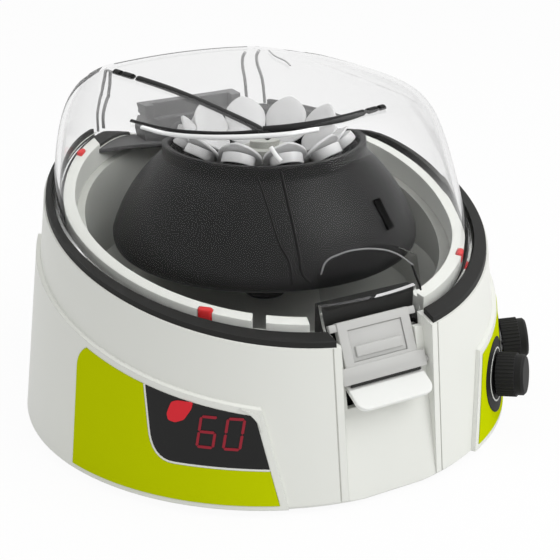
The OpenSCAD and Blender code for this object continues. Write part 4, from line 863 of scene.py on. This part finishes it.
lever = {
    "tongue": {"wide": 35.0, "low": 0.5, "high": 23.0, "front": -1.5, "back": 1.5, "edge": 0.3},
    "ears": {"wide": 42.0, "low": 19.5, "high": 22.7, "front": -1.0, "back": 1.0, "edge": 0.25},
    "band": {"wide": 41.0, "low": -2.6, "high": 4.4, "front": -2.1, "back": -0.4, "edge": 0.3},
    "shadowStrip": {"wide": 34.0, "low": -3.7, "high": -2.2, "front": -2.0, "back": -0.9, "edge": 0.2},
    "hub": 3.3, "hubLong": 34.0, "hubFront": -1.6, "bore": 1.75, "boreLong": 70.0,
    "pocketRoom": 0.15, "pocketFront": -3.0, "pocketBack": -0.62,
    "tabWide": 37.0, "tabLong": 15.0, "tabTop": -1.5, "tabThick": 2.0, "tabFall": 26.0,
    "tabCorner": 4.5, "tabDroop": 0.9, "tabCuts": 19, "tabEdge": 0.6, "tabAngle": 50,
    "smooth": 40}


def slab(name, wide, low, high, front, back, edge=0.0):
    # block in the lever's own axes, mm, bevelled where it has an edge
    block = box(name, Vector((wide, back - front, high - low)) * mm,
                Vector((0, (front + back) / 2, (low + high) / 2)) * mm)
    return softened(block, edge, segments=2) if edge else block


def roundBar(name, radius, long):
    clearSelection()
    bpy.ops.mesh.primitive_cylinder_add(
        vertices=meshing["roundSides"], radius=radius * mm, depth=long * mm)
    bar = started(name)
    bar.rotation_euler = (0, pi / 2, 0)
    return settle(bar)


def makeTab():
    clearSelection()
    bpy.ops.mesh.primitive_plane_add(size=1)
    tab = started("lever_tab")
    wide, long, corner = lever["tabWide"], lever["tabLong"], lever["tabCorner"]
    tab.scale = (wide * mm, long * mm, 1)
    tab.location = Vector((0, -long / 2, lever["tabTop"])) * mm
    settle(tab)
    editAll()
    bpy.ops.mesh.subdivide(number_cuts=lever["tabCuts"])
    editDone()
    # front corners rounded and the front edge drooping
    for vertex in tab.data.vertices:
        along = -vertex.co.y / mm
        past = max(0.0, along - long + corner)
        half = wide / 2 - corner + sqrt(max(0.0, corner ** 2 - past * past))
        vertex.co.x *= half / (wide / 2)
        vertex.co.z -= lever["tabDroop"] * (along / long) ** 3 * mm
    thickened(tab, lever["tabThick"])
    softened(tab, lever["tabEdge"], segments=3, angle=lever["tabAngle"])
    tab.data.transform(Matrix.Rotation(radians(lever["tabFall"] + plate["lean"]), 4, "X"))
    return outward(tab)


def makeLever():
    piece = slab("lever_body", **lever["tongue"])
    merged(piece, slab("lever_ears", **lever["ears"]), "UNION")
    merged(piece, slab("lever_band", **lever["band"]), "UNION")
    hub = roundBar("lever_hub", lever["hub"], lever["hubLong"])
    for vertex in hub.data.vertices:
        vertex.co.y = max(vertex.co.y, lever["hubFront"] * mm)
    merged(piece, outward(hub), "UNION")
    merged(piece, makeTab(), "UNION")
    merged(piece, roundBar("lever_bore", lever["bore"], lever["boreLong"]), "DIFFERENCE")
    room = lever["pocketRoom"]
    pocket = slab("lever_pocket", plate["wide"] + 2 * room, plate["low"] - room,
                  plate["low"] + plate["high"] + room, lever["pocketFront"], lever["pocketBack"])
    merged(piece, pocket, "DIFFERENCE")
    piece.data.transform(leverFrame())
    return wear(smoothed(outward(piece), lever["smooth"]), "latch", shadedLeverFinish)


def makeShadowStrip():
    # painted shadow: a black strip standing in for the shade in the corner between the band and
    # the tab
    shadowStrip = slab("lever_shadow_strip", **lever["shadowStrip"])
    shadowStrip.data.transform(leverFrame())
    return wear(smoothed(outward(shadowStrip)), "latch", finishes["black_plastic"])


makeShadowStrip()
leverBody = makeLever()
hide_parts("latch_lever")
print("lever", len(leverBody.data.polygons), "faces")
latchTray = makeLatchPlate()
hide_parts("latch_inset")
print("latch tray", len(latchTray.data.polygons), "faces")

# solids that stay as they are, in their own finishes

# the bowl's finish carries painted light and the latch pin's painted shade
dressed = {"lid_catch": catchFinish, "rotor_bowl": paintedLightBowlFinish, "latch_pin": shadedLeverFinish,
           "hinge_cover": coverFinish, "inner_rim": ringFinish, "speed_knob": knobFinish,
           "time_knob": knobFinish, "dial_discs": knobFinish}
for solidName, finish in dressed.items():
    nodes[solidName].data.materials[0] = finish
print("own finishes on", len(dressed), "solids")

# lamp beside the digits and the round corner of the window's frame, both on the drum's wall

wall = {"radius": 111.0, "taper": 0.121, "pad": 2.0, "turn": radians(-42.2), "z": 33.0,
        "tries": 12, "cornerSteps": 4}
lampMark = {"outline": [(-16.3, 7.0), (-14.4, 12.1), (-11.9, 13.1), (-5.1, 13.0), (-5.8, 10.0),
                        (-8.8, 5.3), (-12.7, 3.6), (-15.7, 4.3)],
            "round": 0.8, "low": 0.1, "high": 0.55}
windowCorner = {"from": (13.9, 11.9), "corner": (20.75, 9.1), "to": (22.5, 2.6), "spare": 0.5,
                "steps": 10, "low": 0.1, "high": 0.5}


def onWall(x, y, out):
    # a point of the wall's flat drawing, pushed onto the cone of the pad
    slope = atan2(wall["taper"], 1.0)
    place = (Matrix.Rotation(wall["turn"], 4, "Z")
             @ Matrix.Translation((0, -(wall["radius"] - wall["taper"] * wall["z"]), wall["z"]))
             @ Matrix.Rotation(pi / 2 - slope, 4, "X"))
    rise = 0.0
    for step in range(wall["tries"]):
        point = place @ Vector((x, y, rise))
        cone = wall["radius"] - wall["taper"] * point.z + wall["pad"] + out
        rise -= Vector(point.xy).length - cone
    return atDrum(*point)


def wallPatch(name, outline, low, high, rounding, finish):
    # a flat drawing, thickened and laid on the wall between two heights over it
    clearSelection()
    bpy.ops.mesh.primitive_circle_add(vertices=len(outline), radius=1.0, fill_type="NGON")
    piece = started(name)
    for vertex, (x, y) in zip(piece.data.vertices, outline):
        vertex.co = (x, y, 0.0)
    editAll()
    if rounding:
        bpy.ops.mesh.bevel(offset=rounding, segments=wall["cornerSteps"], affect="VERTICES")
    bpy.ops.mesh.select_all(action="SELECT")
    bpy.ops.mesh.extrude_region_move(TRANSFORM_OT_translate={"value": (0, 0, 1.0)})
    editDone()
    for vertex in piece.data.vertices:
        vertex.co = onWall(vertex.co.x, vertex.co.y, high if vertex.co.z > 0.5 else low)
    return wear(smoothed(outward(piece)), "frame", finish)


def cornerOutline():
    # the rounded corner and the square one outside it
    arc = arcPoints(windowCorner["from"], windowCorner["corner"], windowCorner["to"],
                    windowCorner["steps"])
    spare = windowCorner["spare"]
    cornerX, cornerY = windowCorner["corner"]
    return arc + [(arc[-1][0] + spare, arc[-1][1]), (cornerX + spare, cornerY + spare),
                  (arc[0][0], arc[0][1] + spare)]


lampPiece = wallPatch("lamp_mark", lampMark["outline"], lampMark["low"], lampMark["high"],
                      lampMark["round"], lampFinish)
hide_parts("speed_lamp")
wallPatch("window_corner", cornerOutline(), windowCorner["low"], windowCorner["high"], 0.0,
          finishes["white_shell"])
print("lamp and window corner")

# rounded rubber buffers on the white ring

buffer = {"turns": (45, 135, 225, 315), "edge": 90.0, "seat": 1.2, "wide": 6.2, "deep": 3.0,
          "high": 6.2, "low": 5.0, "ring": 2.0, "round": 1.3, "roundSteps": 5, "smooth": 60}


def makeBuffers():
    size = (buffer["wide"] * mm, buffer["deep"] * mm, buffer["high"] * mm)
    blocks = []
    for degrees in buffer["turns"]:
        turn = radians(degrees)
        block = softened(box("buffer_domes", size), buffer["round"], buffer["roundSteps"])
        low = rimAt(-buffer["edge"] * cos(turn)) + buffer["ring"] - buffer["low"]
        block.data.transform(
            Matrix.Translation(atDrum(0, 0, low + buffer["high"] / 2))
            @ Matrix.Rotation(turn, 4, "Z")
            @ Matrix.Translation((0, (-buffer["edge"] + buffer["seat"]) * mm, 0)))
        blocks.append(block)
    piece = smoothed(joined(blocks, "buffer_domes"), buffer["smooth"])
    return wear(piece, "frame", finishes["red_rubber"])


bufferDomes = makeBuffers()
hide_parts("lid_buffers")
print("buffers", len(bufferDomes.data.polygons), "faces")

# black caps over the ends of the white ring, beside the hinge cover

ringEnd = {"from": 51.0, "to": 30.0, "inner": 84.4, "outer": 90.4, "back": 79.3, "least": 1.5,
           "z": 94.8, "thick": 2.0, "cuts": 11, "edge": 0.3, "edgeAngle": 50}


def makeRingEnds():
    ends = []
    for side in (-1, 1):
        clearSelection()
        bpy.ops.mesh.primitive_plane_add(size=1)
        end = started("ring_ends")
        editAll()
        bpy.ops.mesh.subdivide(number_cuts=ringEnd["cuts"])
        editDone()
        for vertex in end.data.vertices:
            along, across = vertex.co.x + 0.5, vertex.co.y + 0.5
            x = ringEnd["from"] + (ringEnd["to"] - ringEnd["from"]) * along
            inner = min(ringEnd["back"] - ringEnd["least"], sqrt(ringEnd["inner"] ** 2 - x * x))
            outer = min(ringEnd["back"], sqrt(ringEnd["outer"] ** 2 - x * x))
            y = inner + (outer - inner) * across
            vertex.co = atDrum(side * x, y, ringEnd["z"] + rimPlane["slope"] * y)
        thickened(outward(end), ringEnd["thick"])
        ends.append(softened(end, ringEnd["edge"], segments=2, angle=ringEnd["edgeAngle"]))
    piece = smoothed(outward(joined(ends, "ring_ends")))
    return wear(piece, "frame", finishes["black_plastic"])


ringEnds = makeRingEnds()
print("ring ends", len(ringEnds.data.polygons), "faces")

# floor, light and camera

stageLook = {"floor": 6.0, "floorColour": (0.86, 0.86, 0.86), "floorTone": 0.01,
             "floorGrain": 300.0, "floorPatch": 2.0, "floorRough": 0.9, "whiteShare": 0.94,
             "sky": 0.57, "white": (1, 1, 1, 1)}


def seenMask(tree):
    # 1 where a ray is seen straight, mirrored or through the clear lid
    path = addNode(tree, "ShaderNodeLightPath", (-700, 500))
    seen = addNode(tree, "ShaderNodeMath", (-400, 500), operation="MAXIMUM")
    seenGlass = addNode(tree, "ShaderNodeMath", (-200, 500), operation="MAXIMUM")
    tree.links.new(path.outputs["Is Camera Ray"], seen.inputs[0])
    tree.links.new(path.outputs["Is Glossy Ray"], seen.inputs[1])
    tree.links.new(seen.outputs["Value"], seenGlass.inputs[0])
    tree.links.new(path.outputs["Is Transmission Ray"], seenGlass.inputs[1])
    return seenGlass.outputs["Value"]


def makeFloor():
    clearSelection()
    bpy.ops.mesh.primitive_plane_add(size=stageLook["floor"])
    floor = started("floor")
    material, tree, shader = newMaterial("paleFloor")
    link = tree.links.new
    texture = groupNode(tree, grainGroup, (-700, 0), Grain_Size=stageLook["floorGrain"],
                        Patch_Size=stageLook["floorPatch"])
    tone = addNode(tree, "ShaderNodeMix", (-400, 200), data_type="RGBA")
    colour, change = stageLook["floorColour"], stageLook["floorTone"]
    tone.inputs["A"].default_value = tinted(colour, 1 - change)
    tone.inputs["B"].default_value = tinted(colour, 1 + change)
    white = addNode(tree, "ShaderNodeEmission", (0, -250))
    share = addNode(tree, "ShaderNodeMath", (0, 500), operation="MULTIPLY")
    share.inputs[1].default_value = stageLook["whiteShare"]
    mixed = addNode(tree, "ShaderNodeMixShader", (300, 100))
    link(texture.outputs["Tone"], tone.inputs["Factor"])
    link(tone.outputs["Result"], shader.inputs["Base Color"])
    shader.inputs["Roughness"].default_value = stageLook["floorRough"]
    shader.inputs["Specular IOR Level"].default_value = 0.0
    link(seenMask(tree), share.inputs[0])
    link(share.outputs["Value"], mixed.inputs[0])
    link(shader.outputs["BSDF"], mixed.inputs[1])
    link(white.outputs["Emission"], mixed.inputs[2])
    link(mixed.outputs["Shader"], tree.nodes["Material Output"].inputs["Surface"])
    floor.data.materials.append(material)


def makeSky():
    world = bpy.context.scene.world or bpy.data.worlds.new("studio")
    bpy.context.scene.world = world
    world.use_nodes = True
    tree = world.node_tree
    link = tree.links.new
    sky = tree.nodes["Background"]
    sky.inputs["Color"].default_value = stageLook["white"]
    sky.inputs["Strength"].default_value = stageLook["sky"]
    white = addNode(tree, "ShaderNodeBackground", (0, -250))
    white.inputs["Color"].default_value = stageLook["white"]
    mixed = addNode(tree, "ShaderNodeMixShader", (250, 0))
    link(seenMask(tree), mixed.inputs[0])
    link(sky.outputs["Background"], mixed.inputs[1])
    link(white.outputs["Background"], mixed.inputs[2])
    link(mixed.outputs["Shader"], tree.nodes["World Output"].inputs["Surface"])


lamps = {
    "keyLamp": {"at": (0.55, -0.75, 0.95), "aim": (0, 0, 0.06), "size": 0.9, "power": 7.8},
    "topLamp": {"at": (-0.1, 0.15, 1.3), "aim": (0, 0, 0.08), "size": 1.0, "power": 3.5},
}
eye = {"at": (-0.2850, -0.4965, 0.2990), "along": (0.463, 0.799, -0.384), "lens": 86.8,
       "sensor": 36.0, "near": 0.01}


def hung(name, data, place, along):
    # a lamp or camera at a place, looking along a direction
    holder = bpy.data.objects.new(name, data)
    bpy.context.scene.collection.objects.link(holder)
    holder.location = place
    holder.rotation_euler = Vector(along).to_track_quat("-Z", "Y").to_euler()
    return holder


def makeLamps():
    for name, lamp in lamps.items():
        light = bpy.data.lights.new(name, "AREA")
        light.size = lamp["size"]
        light.energy = lamp["power"]
        hung(name, light, lamp["at"], Vector(lamp["aim"]) - Vector(lamp["at"]))


def makeCamera():
    camera = bpy.data.cameras.new("photoCamera")
    camera.lens = eye["lens"]
    camera.sensor_width = eye["sensor"]
    camera.sensor_fit = "HORIZONTAL"
    camera.clip_start = eye["near"]
    bpy.context.scene.camera = hung("photoCamera", camera, eye["at"], eye["along"])


makeFloor()
makeSky()
makeLamps()
makeCamera()
bpy.context.scene.view_settings.view_transform = "Standard"
print("floor, light and camera")
